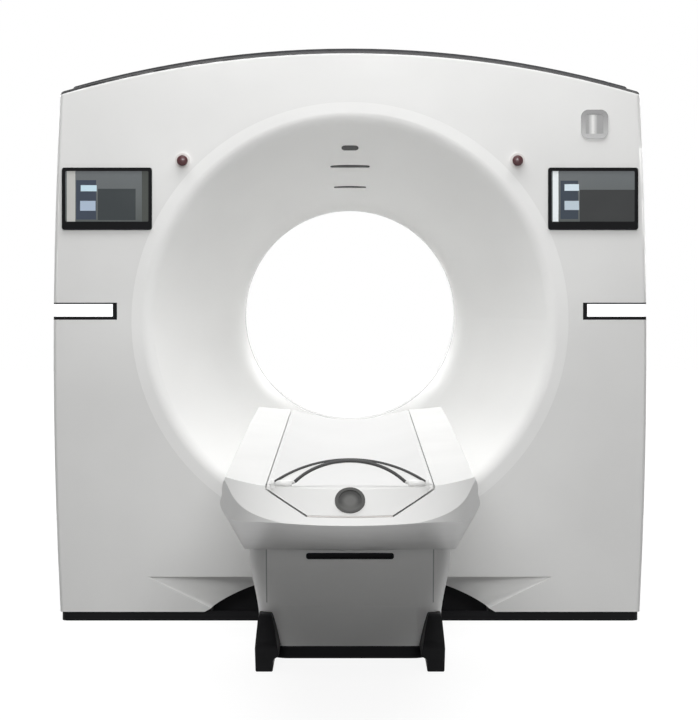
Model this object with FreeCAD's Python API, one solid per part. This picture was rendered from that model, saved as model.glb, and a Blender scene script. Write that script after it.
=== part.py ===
import FreeCAD, Part
import math
import os

# A wide-bore scanner: a ring-shaped gantry that stands on the floor, with a patient table
# docked in front of it. Millimetres. X is to the right for someone at the table's foot end,
# Y runs away from them through the bore, Z is up. The origin is on the floor straight below
# the middle of the bore, in the plane that is scanned.

V = FreeCAD.Vector

# ---- gantry: driving dimensions
bore_r = 400.0              # free radius of the bore
iso_z = 1080.0              # height of the bore's axis
front_y = -520.0            # front plane of the gantry
rear_y = 530.0              # rear plane
half_width_foot = 1041.0    # half width at the bottom edge of the covers
side_bulge = 25.0           # how far the sides swell out at half height
top_z = 2050.0              # top of the white covers in the middle
crown_r = 3730.0            # radius of the arched top edge
corner_r = 16.0             # rounding of the upper corners, seen from the front
edge_r = 13.0               # rounding between front plane and sides
cover_wall = 6.0            # wall of the moulded covers
edge_thicker = 1.0          # and this much more in their rounded edges
cover_foot_z = 34.0         # lower edge of the covers, above the plinth
seam = 0.5                  # seam between neighbouring covers
seat = 0.3                  # gap where one piece rests on another of curved form
front_depth = 160.0         # how far the front cover wraps along the sides
rear_depth = 160.0          # the same for the rear cover
top_cover_half = half_width_foot - corner_r - 10
top_rise = 22.0             # the dark top cover stands this far above the white edge
top_round = 14.0
top_flange = 120.0          # depth of the flange behind the front cover
vent_count = 14
vent_pitch = 62.0
vent_row = 110.0            # the two rows lie this far from the middle
vent_w = 30.0
vent_len = 130.0

# ---- funnel, flare and the window between them
funnel_r = 722.0            # where the funnel leaves the front plane
funnel_y = -110.0           # where the funnel reaches the bore
funnel_lip_r = 785.0        # flat ring round the funnel that joins it to the front wall
funnel_edge_r = 52.0        # rounding from the front plane into the funnel
funnel_throat_r = 240.0     # rounding from the funnel into the bore
flare_r = 540.0             # where the rear flare leaves the rear plane
flare_lip_r = 605.0         # flat ring round the flare
flare_y = 110.0             # where the rear flare starts
flare_edge_r = 60.0
rear_slot_rows = 2
rear_slot_count = 9
rear_slot_pitch = 150.0
rear_slot_gap = 120.0
rear_slot_z = 240.0
rear_slot_w = 110.0
rear_slot_h = 14.0
window_half = 20.0          # half width of the scan window ring
window_wall = 3.0

# ---- scoops over the feet of the staff, and the arch for the table
scoop_x = 726.0             # outer tip of each scoop
scoop_z = 160.0             # its upper crease
scoop_angle = 26.3          # between the crease and the lower line, in degrees
arch_half = 521.0           # half width of the arch at the covers' lower edge
arch_rise = 145.0           # height of the arch above that edge

# ---- plinth and base
plinth_inset = 4.0
plinth_wall = 12.0
kick_half = 560.0           # half width of the raised middle of the plinth
kick_top = 200.0
kick_y = -330.0             # front face of that raised middle
base_top = 70.0
base_half = 900.0
base_front = -300.0
base_rear = 450.0
beam = 90.0                 # width of the base beams
foot_pad_r = 45.0
foot_pad_h = 12.0
anchor_r = 9.0              # floor anchor holes
gantry_anchor_x = 855.0
gantry_anchor_y = 260.0

# ---- displays on the front
display_x = half_width_foot - 168.5
display_z = 1517.5
display_w = 323.0
display_h = 223.0
display_proud = 8.0
display_deep = 48.0
display_rim = 12.0
display_chin = 29.0         # thicker lower rim
glass_t = 8.0
glass_proud = 4.0           # glass stands back this far from the frame's face

# ---- light bars that wrap round the sides
bar_x = half_width_foot - 204                            # inner end
bar_z = 1113.5
bar_h = 61.0
bar_deep = 80.0
bar_rim = 8.0                # rim behind the lens on the gantry's side
bar_rim_top = 5.0
bar_rim_foot = 11.0
bar_end_rim = 15.0
lens_t = 18.0

# ---- stop buttons
stop_x = half_width_foot - 440
stop_z = 1654.0
stop_collar_r = 27.0
stop_collar_h = 7.0
stop_bore_r = 12.0
stop_stem_gap = 0.05
stop_head_r = 19.0
stop_head_h = 14.0
stop_travel = 6.0
stop_stem = 30.0

# ---- small pieces in the funnel's upper wall, placed by their distance along the slope
camera_along = 0.30
camera_size = (62.0, 26.0)
laser_along = 0.50
laser_size = (146.0, 15.0)
speaker_along = 0.73
speaker_size = (121.0, 10.0)
plug_t = 9.0

# ---- badge, left plain
badge_x = half_width_foot - 163
badge_z = 1785.0
badge_w = 97.0
badge_h = 104.0
badge_r = 26.0
badge_rim = 15.0
badge_t = 5.0

# ---- rotor and what carries it
stator_y = 230.0            # front face of the stator plate
stator_t = 60.0
stator_r = 780.0
stator_bore_r = 520.0
stator_leg_in = 350.0
stator_leg_out = 860.0
stator_leg_top = 900.0
disc_y = 90.0               # front face of the rotor disc
disc_t = 40.0
disc_r = 880.0
disc_bore_r = 472.0
disc_window_out = 840.0     # weight-saving windows reach from here
disc_window_in = 690.0      # to here
disc_window_half = 110.0
disc_window_count = 8
race_r = 550.0              # where the two bearing rings meet
race_gap = 0.05
bearing_in_r = 500.0
bearing_out_r = 600.0
bearing_back_gap = 4.0      # inner ring stands this far in front of the stator plate
sheave_r = 655.0            # belt rim on the rotor
sheave_wall = 18.0
sheave_gap = 10.0           # between the belt rim and the stator plate
focus_r = 626.0             # focus to isocentre
detector_gap = 71.0         # detector face outside the bore's wall
detector_r = focus_r + bore_r + detector_gap   # focus to detector face
detector_t = 92.0
detector_half_angle = 26.0
detector_half_w = 45.0
tube_r = 125.0
tube_front = -185.0
unit_in = 520.0             # inner and outer reach of the boxes beside the bore
unit_out = 835.0
unit_half = 160.0
unit_front = -150.0
exchanger_angle = 135.0
fan_r = 105.0
fan_hub_r = 34.0
fan_gap = 3.0
fan_t = 26.0
fan_blades = 7
slip_r = 512.0
slip_in_r = 484.0
slip_len = 104.0
slip_ring_count = 4
brush_angle = 205.0

# ---- rotor drive
motor_x = 745.0
motor_z = 385.0
motor_r = 95.0
motor_len = 190.0
motor_shaft_r = 18.0
pulley_r = 60.0
pulley_gap = 0.05
belt_t = 5.0
belt_w = 56.0

# ---- table: driving dimensions, at the height shown
shell_half = 325.0          # half width of the table's upper body at its nose
shell_head_half = 338.0     # and over the pedestal
shell_foot_y = -3080.0      # foot end of its nose
shell_head_y = -562.0
shell_rim_z = 775.0         # outer rim
shell_wing_z = 764.0        # beside the cradle
shell_nose_z = 676.0        # underside at the foot end
shell_deep_y = -1292.0      # where the slanting underside reaches its lowest
shell_deep_z = 366.0
shell_nose_half = 318.0     # half width at the underside of the nose
shell_deep_half = 346.0     # half width at the lower edge over the pedestal
shell_wall = 5.0
shell_nose_belly = 30.0     # the underside is lower in the middle than at its sides by this much
shell_deep_belly = 4.0
shell_nose_round = 80.0     # rounding of the lower corners at the nose
shell_deep_round = 10.0     # and at the lower edge over the pedestal
nose_radius = 370.0         # the nose's curve in plan, for its sloping upper face
nose_low_radius = 320.0     # tighter below, so that the lower edge of the slope rises at the sides
nose_arc = 69.6             # degrees of that curve on each side, before its straight flanks
nose_slope = 49.5           # slope of the nose's upper face, in degrees

cradle_half = 206.0
cradle_under_z = 703.0      # the cradle's flat underside
cradle_flat = 105.0         # half width of that flat
cradle_side_z = 757.0       # where the underside meets the sides
cradle_top_z = 730.0        # middle of the lying surface
cradle_rim_z = 767.0
cradle_rim = 11.0           # width of the rim
cradle_foot_y = -2920.0
cradle_head_y = -575.0
cradle_gap = 4.0            # between cradle and channel
cradle_travel = 1700.0

cap_back = 4.5              # the end cap's face stands back this far from the nose
cap_top_z = 762.0
disc_mark_r = 37.0          # plain round plate on the end face
disc_mark_z = 737.0
handle_half = 186.0
handle_rise = 66.0
handle_bar = 15.0
handle_t = 16.0
handle_pin_r = 6.0
handle_pin_gap = 0.05
handle_y = -2944.0          # axis of its pins
handle_z = 771.5

frame_under_z = 620.0
frame_top_z = 668.0
frame_half = 190.0
frame_beam = 34.0
frame_foot_y = -2540.0
frame_head_y = -580.0
frame_bays = 6
drive_gap = 3.0             # between the cradle's drive and the cross beam beside it
drive_len = 104.0
drive_half = 60.0
drive_motor_r = 16.0
drive_motor_len = 180.0
glide_count = 3
bracket_count = 5           # pairs of brackets that carry the upper body
roller_y = -684.0
roller_r = 24.0
roller_axis_z = cradle_under_z - seat - roller_r
roller_half = 60.0
roller_shaft_r = 8.0
roller_shaft_gap = 0.05

# ---- pedestal and lift
pedestal_front_foot = -1226.0
pedestal_front_top = -1272.0
pedestal_rear = -574.0
pedestal_halves = ((44.0, 288.0), (162.0, 303.0), (230.0, 315.0), (319.0, 330.0), (366.0, 331.0),
                   (455.0, 326.0))   # height, half width
pedestal_foot_z = 44.0
pedestal_top_z = 455.0
pedestal_wall = 5.0
pedestal_round = 88.0
panel_half_top = 285.0
panel_half_foot = 228.0
sleeve_half = 268.0
sleeve_front = -1206.0
sleeve_rear = -582.0
sleeve_wall = 4.0
sleeve_foot_z = 262.0
sleeve_round = 30.0
slot_w = 285.0
slot_h = 20.0
slot_z = 343.0
panel_line_z = 177.0

lift_y = -616.0             # fixed pivots of the scissor, below and above each other
lift_foot_z = 130.0
lift_arm = 620.0            # from pivot to roller
lift_angle = 41.45          # arm against the floor, at the height shown, in degrees
lift_down = 16.6            # degrees down from there
lift_up = 32.3              # degrees up from there
arm_out = 240.0             # outer face of the outer arms
lift_bar_t = 14.0
lift_bar_h = 40.0            # its round ends are the rollers
lift_bar_gap = 2.0
lift_pin_r = 13.0
lift_pin_gap = 0.05
lift_eye_r = 24.0
lift_roller_gap = 0.3
arm_in = arm_out - lift_bar_t - lift_bar_gap             # outer face of the inner arms
lift_rest = math.radians(lift_angle)
lift_top_z = lift_foot_z + lift_arm * math.sin(lift_rest)
lift_roller_y = lift_y - lift_arm * math.cos(lift_rest)
lift_far_y = lift_y - lift_arm * math.cos(lift_rest - math.radians(lift_down)) - 10

skirt_front = -1205.0
skirt_half = 262.0
skirt_wall = 6.0
skirt_round = 60.0
fairing_front = -1425.0
fairing_rear = -1190.0
fairing_out = 303.0
fairing_in = 245.0          # inner face at the floor
fairing_wrap = 226.0        # how far in it reaches just above the skirt
fairing_top = 158.0
fairing_under = 12.0        # it clears the pedestal this far below the pedestal's lower edge
table_plate_z0 = 10.0
table_plate_t = 20.0
table_plate_half = 250.0
table_plate_front = -1196.0
table_anchor_x = 170.0
table_anchor_y0 = -1150.0
table_anchor_y1 = -680.0
dock_half = 120.0


# ---------------------------------------------------------------- helpers

def box(x0, x1, y0, y1, z0, z1):
    """Block between two corners."""
    return Part.makeBox(x1 - x0, y1 - y0, z1 - z0, V(x0, y0, z0))


def rod(r, length, start, direction):
    """Round bar from a point along a direction."""
    return Part.makeCylinder(r, length, V(*start), V(*direction))


def ring(r_out, r_in, y0, y1, x=0.0, z=iso_z):
    """Ring about an axis along Y."""
    outer = rod(r_out, y1 - y0, (x, y0, z), (0, 1, 0))
    return outer.cut(rod(r_in, y1 - y0, (x, y0, z), (0, 1, 0)))


def offset_path(points, distance):
    """Moves every side of an open or closed polygon to its left by a distance (corners stay sharp)."""
    sides = []
    for (a0, b0), (a1, b1) in zip(points, points[1:]):
        length = math.hypot(a1 - a0, b1 - b0)
        na = -(b1 - b0) / length * distance
        nb = (a1 - a0) / length * distance
        sides.append(((a0 + na, b0 + nb), (a1 + na, b1 + nb)))
    moved = [sides[0][0]]
    for (p, q), (r, s) in zip(sides, sides[1:]):
        d1 = (q[0] - p[0], q[1] - p[1])
        d2 = (s[0] - r[0], s[1] - r[1])
        cross = d1[0] * d2[1] - d1[1] * d2[0]
        t = ((r[0] - p[0]) * d2[1] - (r[1] - p[1]) * d2[0]) / cross
        moved.append((p[0] + t * d1[0], p[1] + t * d1[1]))
    moved.append(sides[-1][1])
    return moved


def rounded_edges(corners, to_3d):
    """Closed loop of straight edges and arcs. A corner is (a, b, radius)."""
    edges = []
    count = len(corners)
    ends = []
    for i in range(count):
        pa, pb = V(*corners[i - 1][:2], 0), V(*corners[i][:2], 0)
        pc = V(*corners[(i + 1) % count][:2], 0)
        radius = corners[i][2]
        if radius <= 0:
            ends.append((pb, None, pb))
            continue
        u, w = (pa - pb).normalize(), (pc - pb).normalize()
        half = u.getAngle(w) / 2
        reach = radius / math.tan(half)
        middle = (u + w).normalize() * (radius / math.sin(half) - radius)
        ends.append((pb + u * reach, pb + middle, pb + w * reach))
    for i in range(count):
        start, middle, end = ends[i]
        if middle is not None:
            edges.append(Part.Arc(to_3d(start), to_3d(middle), to_3d(end)).toShape())
        following = ends[(i + 1) % count][0]
        if (end - following).Length > 1e-6:
            edges.append(Part.LineSegment(to_3d(end), to_3d(following)).toShape())
    return edges


def face_xy(corners, z=0.0):
    return Part.Face(Part.Wire(rounded_edges(corners, lambda p: V(p.x, p.y, z))))


def face_xz(corners, y=0.0):
    return Part.Face(Part.Wire(rounded_edges(corners, lambda p: V(p.x, y, p.y))))


def face_yz(corners, x=0.0):
    return Part.Face(Part.Wire(rounded_edges(corners, lambda p: V(x, p.x, p.y))))


def slab_xz(corners, y0, y1):
    """Outline in the XZ plane, pulled along Y."""
    return face_xz(corners, y0).extrude(V(0, y1 - y0, 0))


def slab_xy(corners, z0, z1):
    """Outline in plan, pulled up."""
    return face_xy(corners, z0).extrude(V(0, 0, z1 - z0))


def slab_yz(corners, x0, x1):
    """Outline in the side view, pulled along X."""
    return face_yz(corners, x0).extrude(V(x1 - x0, 0, 0))


def oblong(w, h, r, x=0.0, z=0.0):
    """Corners of a rounded rectangle about a point."""
    a, b = w / 2, h / 2
    return [(x - a, z - b, r), (x + a, z - b, r), (x + a, z + b, r), (x - a, z + b, r)]


def revolve_bore(corners):
    """Turns a profile of (radius, y) corners about the bore's axis."""
    face = Part.Face(Part.Wire(rounded_edges(corners, lambda p: V(p.x, p.y, iso_z))))
    return face.revolve(V(0, 0, iso_z), V(0, 1, 0), 360)


def about_bore(shape, degrees):
    """Turns a copy about the bore's axis; 0 is to the right, 90 is on top."""
    copy = shape.copy()
    copy.rotate(V(0, 0, iso_z), V(0, 1, 0), -degrees)
    return copy


def mirror_x(shape):
    return shape.mirror(V(0, 0, 0), V(1, 0, 0))


def both_sides(shape):
    return shape.fuse(mirror_x(shape))


# ---------------------------------------------------------------- gantry outline

def crown_height(x, rise=0.0, radius=crown_r):
    """Height of the arched top edge at a distance from the middle."""
    return top_z + rise - radius + math.sqrt(radius * radius - x * x)


def side_half(z, inset=0.0):
    """Half width of the gantry at a height: each side is one shallow arc."""
    low, high = cover_foot_z, crown_height(half_width_foot)
    share = (z - (low + high) / 2) / ((high - low) / 2)
    return half_width_foot + side_bulge * (1 - share * share) - inset


def gantry_block(inset, y0, y1, z0=cover_foot_z):
    """Solid with the gantry's front outline, drawn in by an inset."""
    x_foot = side_half(cover_foot_z, inset)
    x_corner = half_width_foot - inset
    z_corner = crown_height(x_corner) - inset
    z_middle = (cover_foot_z + z_corner) / 2
    x_middle = side_half(z_middle, inset)

    def at(x, z):
        return V(x, y0, z)

    edges = [
        Part.LineSegment(at(-x_foot, z0), at(x_foot, z0)).toShape(),
        Part.Arc(at(x_foot, z0), at(x_middle, z_middle), at(x_corner, z_corner)).toShape(),
        Part.Arc(at(x_corner, z_corner), at(0, top_z - inset), at(-x_corner, z_corner)).toShape(),
        Part.Arc(at(-x_corner, z_corner), at(-x_middle, z_middle), at(-x_foot, z0)).toShape(),
    ]
    block = Part.Face(Part.Wire(edges)).extrude(V(0, y1 - y0, 0))
    if corner_r <= inset:
        return block
    corners = [e for e in block.Edges if all(v.Z > z_corner - 1 for v in e.Vertexes)
               and all(abs(abs(v.X) - x_corner) < 1 for v in e.Vertexes)]
    return block.makeFillet(corner_r - inset, corners)


def round_end_edges(block, plane_y, radius):
    """Rounds the outline of one end face, but not its straight bottom edge."""
    picked = []
    for edge in block.Edges:
        on_plane = all(abs(v.Y - plane_y) < 1e-6 for v in edge.Vertexes)
        bottom = all(v.Z < cover_foot_z + 1e-6 for v in edge.Vertexes)
        if on_plane and not bottom:
            picked.append(edge)
    return block.makeFillet(radius, picked)


# ---------------------------------------------------------------- gantry covers

def mouth_wall(edge_point, lip, edge_y, throat_y, end_y, radii, side):
    """Thin wall of a funnel: the seen face and a face one wall behind it."""
    seen = [(lip, edge_y), (edge_point, edge_y), (bore_r, throat_y), (bore_r, end_y)]
    back = offset_path(seen, side * cover_wall)
    r1, r2 = radii
    near = [(*seen[0], 0), (*seen[1], r1), (*seen[2], r2), (*seen[3], 0)]
    far = [(*back[3], 0), (*back[2], r2 - cover_wall), (*back[1], r1 - cover_wall), (*back[0], 0)]
    return revolve_bore(near + far)


def scoop_cone(extra):
    """Cone that cuts one scoop, lying on its side with its tip on the front plane."""
    half = math.radians(scoop_angle / 2)
    axis = V(-math.cos(half), 0, -math.sin(half))
    tip = V(scoop_x, front_y, scoop_z) - axis * (extra / math.sin(half))
    length = (scoop_x + 40) / math.cos(half) + extra / math.sin(half)
    return Part.makeCone(0, length * math.tan(half), length, tip, axis)


def arch_cylinder(y0, y1, extra=0.0):
    """Round arch at the bottom of the front, for the table."""
    radius = (arch_half ** 2 + arch_rise ** 2) / (2 * arch_rise)
    return rod(radius + extra, y1 - y0, (0, y0, cover_foot_z + arch_rise - radius), (0, 1, 0))


def slope_vectors():
    run = funnel_y - front_y
    drop = funnel_r - bore_r
    length = math.hypot(run, drop)
    return run / length, drop / length, length


def funnel_plug(size, along, out, back, grow=0.0):
    """Rounded plug through the funnel's upper wall, square to the slope."""
    run, drop, length = slope_vectors()
    w, h = size[0] + 2 * grow, size[1] + 2 * grow
    plug = slab_xy(oblong(w, h, h / 2 - 0.1), -out, back)
    plug.rotate(V(0, 0, 0), V(1, 0, 0), -math.degrees(math.atan2(drop, run)))
    at_r = funnel_r - (funnel_r - bore_r) * along
    at_y = front_y + (funnel_y - front_y) * along
    plug.translate(V(0, at_y, iso_z + at_r))
    return plug


def display_block(grow, y0, y1):
    return slab_xz(oblong(display_w + 2 * grow, display_h + 2 * grow, 9 + grow, display_x, display_z), y0, y1)


def bar_box(grow, depth):
    return box(bar_x - grow, half_width_foot + side_bulge + 40, front_y - 20, front_y + depth + grow,
               bar_z - bar_h / 2 - grow, bar_z + bar_h / 2 + grow)


def front_outer():
    block = gantry_block(0, front_y, front_y + front_depth)
    return round_end_edges(block, front_y, edge_r)


def front_openings():
    """Everything that is let into the front moulding, for the right side."""
    return [display_block(seat, front_y - 20, front_y + front_depth), bar_box(seat, bar_deep),
            rod(stop_bore_r, 40, (stop_x, front_y - 1, stop_z), (0, 1, 0))]


def front_cover():
    """Front moulding round the funnel, with the two scoops and the arch."""
    end = front_y + front_depth
    outer = front_outer().cut(rod(funnel_lip_r, front_depth, (0, front_y, iso_z), (0, 1, 0)))
    cavity_block = gantry_block(cover_wall, front_y + cover_wall, end + 10, cover_foot_z - 1)
    cavity = round_end_edges(cavity_block, front_y + cover_wall, edge_r - cover_wall - edge_thicker)
    for flip in (False, True):
        thick = mirror_x(scoop_cone(cover_wall)) if flip else scoop_cone(cover_wall)
        thin = mirror_x(scoop_cone(0)) if flip else scoop_cone(0)
        cavity = cavity.cut(thick)
        outer = outer.cut(thin)
    cover = outer.cut(cavity)
    cover = cover.cut(arch_cylinder(front_y - 1, end + 1))
    for opening in front_openings():
        cover = cover.cut(opening).cut(mirror_x(opening))
    return largest(cover)


def front_funnel():
    """Funnel of the front moulding, from its flat ring to the scan window."""
    funnel = mouth_wall(funnel_r, funnel_lip_r, front_y, funnel_y, -window_half - seam,
                        (funnel_edge_r, funnel_throat_r), -1)
    corner = display_block(seat, front_y - 20, front_y + front_depth)
    funnel = funnel.cut(corner).cut(mirror_x(corner))
    for size, along in ((camera_size, camera_along), (laser_size, laser_along),
                        (speaker_size, speaker_along)):
        funnel = funnel.cut(funnel_plug(size, along, 10, plug_t + 12, 0.2))
    return largest(funnel)


def largest(shape):
    """Keeps the one real body of a cut that can leave a crumb behind."""
    return max(shape.Solids, key=lambda s: s.Volume)


def rear_cover():
    """Rear moulding round the flare, with two rows of slots near the floor."""
    start = rear_y - rear_depth
    block = round_end_edges(gantry_block(0, start, rear_y), rear_y, edge_r)
    cavity = round_end_edges(gantry_block(cover_wall, start - 10, rear_y - cover_wall, cover_foot_z - 1),
                             rear_y - cover_wall, edge_r - cover_wall - edge_thicker)
    cover = block.cut(cavity).cut(rod(flare_lip_r, rear_depth + 1, (0, start, iso_z), (0, 1, 0)))
    for row in range(rear_slot_rows):
        for i in range(rear_slot_count):
            x = (i - (rear_slot_count - 1) / 2) * rear_slot_pitch
            z = rear_slot_z + row * rear_slot_gap
            cover = cover.cut(slab_xz(oblong(rear_slot_w, rear_slot_h, rear_slot_h / 2 - 1, x, z),
                                      rear_y - 30, rear_y + 5))
    return largest(cover)


def rear_flare():
    """Shorter flare at the back of the bore."""
    return mouth_wall(flare_r, flare_lip_r, rear_y, flare_y, window_half + seam, (flare_edge_r, funnel_throat_r), 1)


def cover_ring(y0, y1):
    return gantry_block(0, y0, y1).cut(gantry_block(cover_wall, y0 - 1, y1 + 1, cover_foot_z - 1))


def side_cover():
    """Right side moulding between front and rear covers, with its rounded upper corner."""
    y0 = front_y + front_depth + seam
    y1 = rear_y - rear_depth - seam
    wall = cover_ring(y0, y1)
    keep = box(top_cover_half + seam, half_width_foot + 60, y0 - 1, y1 + 1, 0, top_z + 50)
    return largest(wall.common(keep))


def lid_block(inset, y0, y1):
    """Solid under the lid's outer face, drawn in by an inset."""
    x_end = top_cover_half - inset
    foot = crown_height(top_cover_half) - cover_wall - (100 if inset else 0)
    end_z = crown_height(x_end) + top_rise - inset

    def at(x, z):
        return V(x, y0, z)

    edges = [
        Part.Arc(at(x_end, end_z), at(0, top_z + top_rise - inset), at(-x_end, end_z)).toShape(),
        Part.LineSegment(at(-x_end, end_z), at(-x_end, foot)).toShape(),
        Part.LineSegment(at(-x_end, foot), at(x_end, foot)).toShape(),
        Part.LineSegment(at(x_end, foot), at(x_end, end_z)).toShape(),
    ]
    block = Part.Face(Part.Wire(edges)).extrude(V(0, y1 - y0, 0))
    corners = [e for e in block.Edges if all(abs(v.Z - end_z) < 1 for v in e.Vertexes)
               and all(abs(abs(v.X) - x_end) < 1 for v in e.Vertexes)]
    return block.makeFillet(top_round - inset, corners)


def top_cover():
    """Dark arched lid with two rows of vents, lying between the other covers."""
    y0 = front_y + front_depth + seam
    y1 = rear_y - rear_depth - seam
    lid = lid_block(0, y0, y1).cut(lid_block(cover_wall, y0 + cover_wall, y1 - cover_wall))
    window_foot = top_z - top_flange
    lid = lid.cut(slab_xz([(-top_cover_half + 200, window_foot - 200, 0), (top_cover_half - 200, window_foot - 200, 0),
                           (top_cover_half - 200, window_foot, 0), (-top_cover_half + 200, window_foot, 0)],
                          y0 - 1, y1 + 1))
    for row in (-1, 1):
        for i in range(vent_count):
            x = (i - (vent_count - 1) / 2) * vent_pitch
            y = (y0 + y1) / 2 + row * vent_row
            lid = lid.cut(slab_xy(oblong(vent_w, vent_len, vent_w / 2 - 1, x, y), top_z - 60, top_z + 60))
    return largest(lid)


def scan_window():
    """Thin clear ring that closes the gap between the two mouldings."""
    return ring(bore_r + window_wall, bore_r, -window_half, window_half)


def plinth():
    """Black band under the covers, with a raised middle behind the arch."""
    half = half_width_foot - plinth_inset
    y0, y1 = front_y + plinth_inset + 10, rear_y - plinth_inset
    top = cover_foot_z - seat
    band = slab_xy([(-half, y0, 25), (half, y0, 25), (half, y1, 25), (-half, y1, 25)], 0, top)
    w = plinth_wall
    band = band.cut(slab_xy([(-half + w, y0 + w, 13), (half - w, y0 + w, 13),
                             (half - w, y1 - w, 13), (-half + w, y1 - w, 13)], -1, top + 1))
    gate = arch_half - 20
    band = band.cut(box(-dock_half - 5, dock_half + 5, y0 - 1, y0 + w + 1, -1, top + 1))
    kick = slab_xz([(-kick_half, 0, 0), (kick_half, 0, 0), (kick_half, 60, 20), (kick_half - 150, kick_top, 60),
                    (-kick_half + 150, kick_top, 60), (-kick_half, 60, 20)], kick_y, kick_y + 8)
    kick = kick.cut(box(-dock_half - 5, dock_half + 5, kick_y - 1, kick_y + 9, -1, 45))
    cheek = box(gate, gate + w, y0 + w / 2, kick_y + 4, 0, top)
    return band.fuse([kick, cheek, mirror_x(cheek)])


# ---------------------------------------------------------------- fittings on the front

def display_frame():
    """Dark housing of one display, let into the front moulding."""
    frame = display_block(0, front_y - display_proud, front_y + display_deep)
    inside_w = display_w - 2 * display_rim
    inside_h = display_h - display_rim - display_chin
    z = display_z + (display_chin - display_rim) / 2
    pocket = slab_xz(oblong(inside_w, inside_h, 5, display_x, z), front_y - display_proud - 1,
                     front_y - display_proud + glass_proud + glass_t)
    back = slab_xz(oblong(inside_w - 40, inside_h - 40, 5, display_x, z), front_y,
                   front_y + display_deep - 5)
    return frame.cut(pocket).cut(back)


def display_glass():
    inside_w = display_w - 2 * display_rim - 2 * 0.2
    inside_h = display_h - display_rim - display_chin - 2 * 0.2
    z = display_z + (display_chin - display_rim) / 2
    y0 = front_y - display_proud + glass_proud
    return slab_xz(oblong(inside_w, inside_h, 4.8, display_x, z), y0, y0 + glass_t)


def bar_lens_space(grow):
    return box(bar_x + bar_end_rim - grow, half_width_foot + side_bulge + 40, front_y - 20,
               front_y + bar_deep - bar_rim + grow,
               bar_z - bar_h / 2 + bar_rim_foot - grow, bar_z + bar_h / 2 - bar_rim_top + grow)


def light_bar_frame():
    """Dark trough of one light bar, which follows the moulding round its edge."""
    body = front_outer().common(bar_box(0, bar_deep))
    hollow = gantry_block(lens_t + 20, front_y + lens_t + 20, front_y + front_depth, cover_foot_z - 1)
    return largest(body.cut(bar_lens_space(seat)).cut(hollow))


def light_bar_lens():
    """White light guide in that trough."""
    body = front_outer().common(bar_lens_space(0))
    hollow = gantry_block(lens_t, front_y + lens_t, front_y + front_depth, cover_foot_z - 1)
    return largest(body.cut(hollow))


def stop_collar():
    """Pale ring round a stop button, with the guide for its stem."""
    collar = ring(stop_collar_r, stop_bore_r - 3, front_y - stop_collar_h, front_y, stop_x, stop_z)
    guide = ring(stop_bore_r - seat, stop_bore_r - 3, front_y, front_y + stop_stem, stop_x, stop_z)
    return collar.fuse(guide).removeSplitter()


def stop_button():
    """Domed push button on a round stem."""
    stem_r = stop_bore_r - 3 - stop_stem_gap
    y_back = front_y - stop_collar_h - stop_travel - 1
    stem = rod(stem_r, stop_stem - stop_travel, (stop_x, y_back, stop_z), (0, 1, 0))
    crown = stop_head_h * 0.35
    top = y_back - stop_head_h
    profile = [V(stop_x, y_back, stop_z), V(stop_x + stop_head_r, y_back, stop_z),
               V(stop_x + stop_head_r, top + crown, stop_z), V(stop_x, top, stop_z)]
    dome_r = (stop_head_r ** 2 + crown ** 2) / (2 * crown)
    x_bend = stop_head_r / 2
    bend = V(stop_x + x_bend, top + dome_r - math.sqrt(dome_r ** 2 - x_bend ** 2), stop_z)
    edges = [Part.LineSegment(profile[0], profile[1]).toShape(),
             Part.LineSegment(profile[1], profile[2]).toShape(),
             Part.Arc(profile[2], bend, profile[3]).toShape(),
             Part.LineSegment(profile[3], profile[0]).toShape()]
    head = Part.Face(Part.Wire(edges)).revolve(V(stop_x, 0, stop_z), V(0, 1, 0), 360)
    return head.fuse(stem).removeSplitter()


def badge():
    """Plain rounded plate with a raised rim."""
    plate = slab_xz(oblong(badge_w, badge_h, badge_r, badge_x, badge_z), front_y - badge_t, front_y)
    dish = slab_xz(oblong(badge_w - 2 * badge_rim, badge_h - 2 * badge_rim, badge_r - badge_rim, badge_x, badge_z),
                   front_y - badge_t - 1, front_y - badge_t / 2)
    return plate.cut(dish)


# ---------------------------------------------------------------- gantry inside

def gantry_base():
    """Welded base of four beams with floor anchor holes and brackets to the plinth."""
    frame = box(-base_half, base_half, base_front, base_rear, foot_pad_h, base_top)
    frame = frame.cut(box(-base_half + beam, base_half - beam, base_front + beam, base_rear - beam,
                          0, base_top + 1))
    cross = box(-base_half, base_half, stator_y - 30, stator_y + stator_t + 30, foot_pad_h, base_top)
    frame = frame.fuse(cross)
    inner = half_width_foot - plinth_inset - plinth_wall - seat
    tab = box(base_half - 1, inner, -40, 40, foot_pad_h, 30)
    frame = frame.fuse([tab, mirror_x(tab)])
    middle = (base_front + base_rear) / 2
    for sx in (-1, 1):
        for sy in (-1, 1):
            hole = rod(anchor_r, base_top + 2, (sx * gantry_anchor_x, middle + sy * gantry_anchor_y, 0), (0, 0, 1))
            frame = frame.cut(hole)
    return frame


def gantry_feet():
    """Round levelling pads under the base."""
    pads = []
    for x in (-base_half + beam / 2, base_half - beam / 2):
        for y in (base_front + beam / 2, (base_front + base_rear) / 2 - 60, base_rear - beam / 2):
            pad = rod(foot_pad_r, foot_pad_h, (x, y, 0), (0, 0, 1))
            pads.append(pad)
    return Part.makeCompound(pads)


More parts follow.
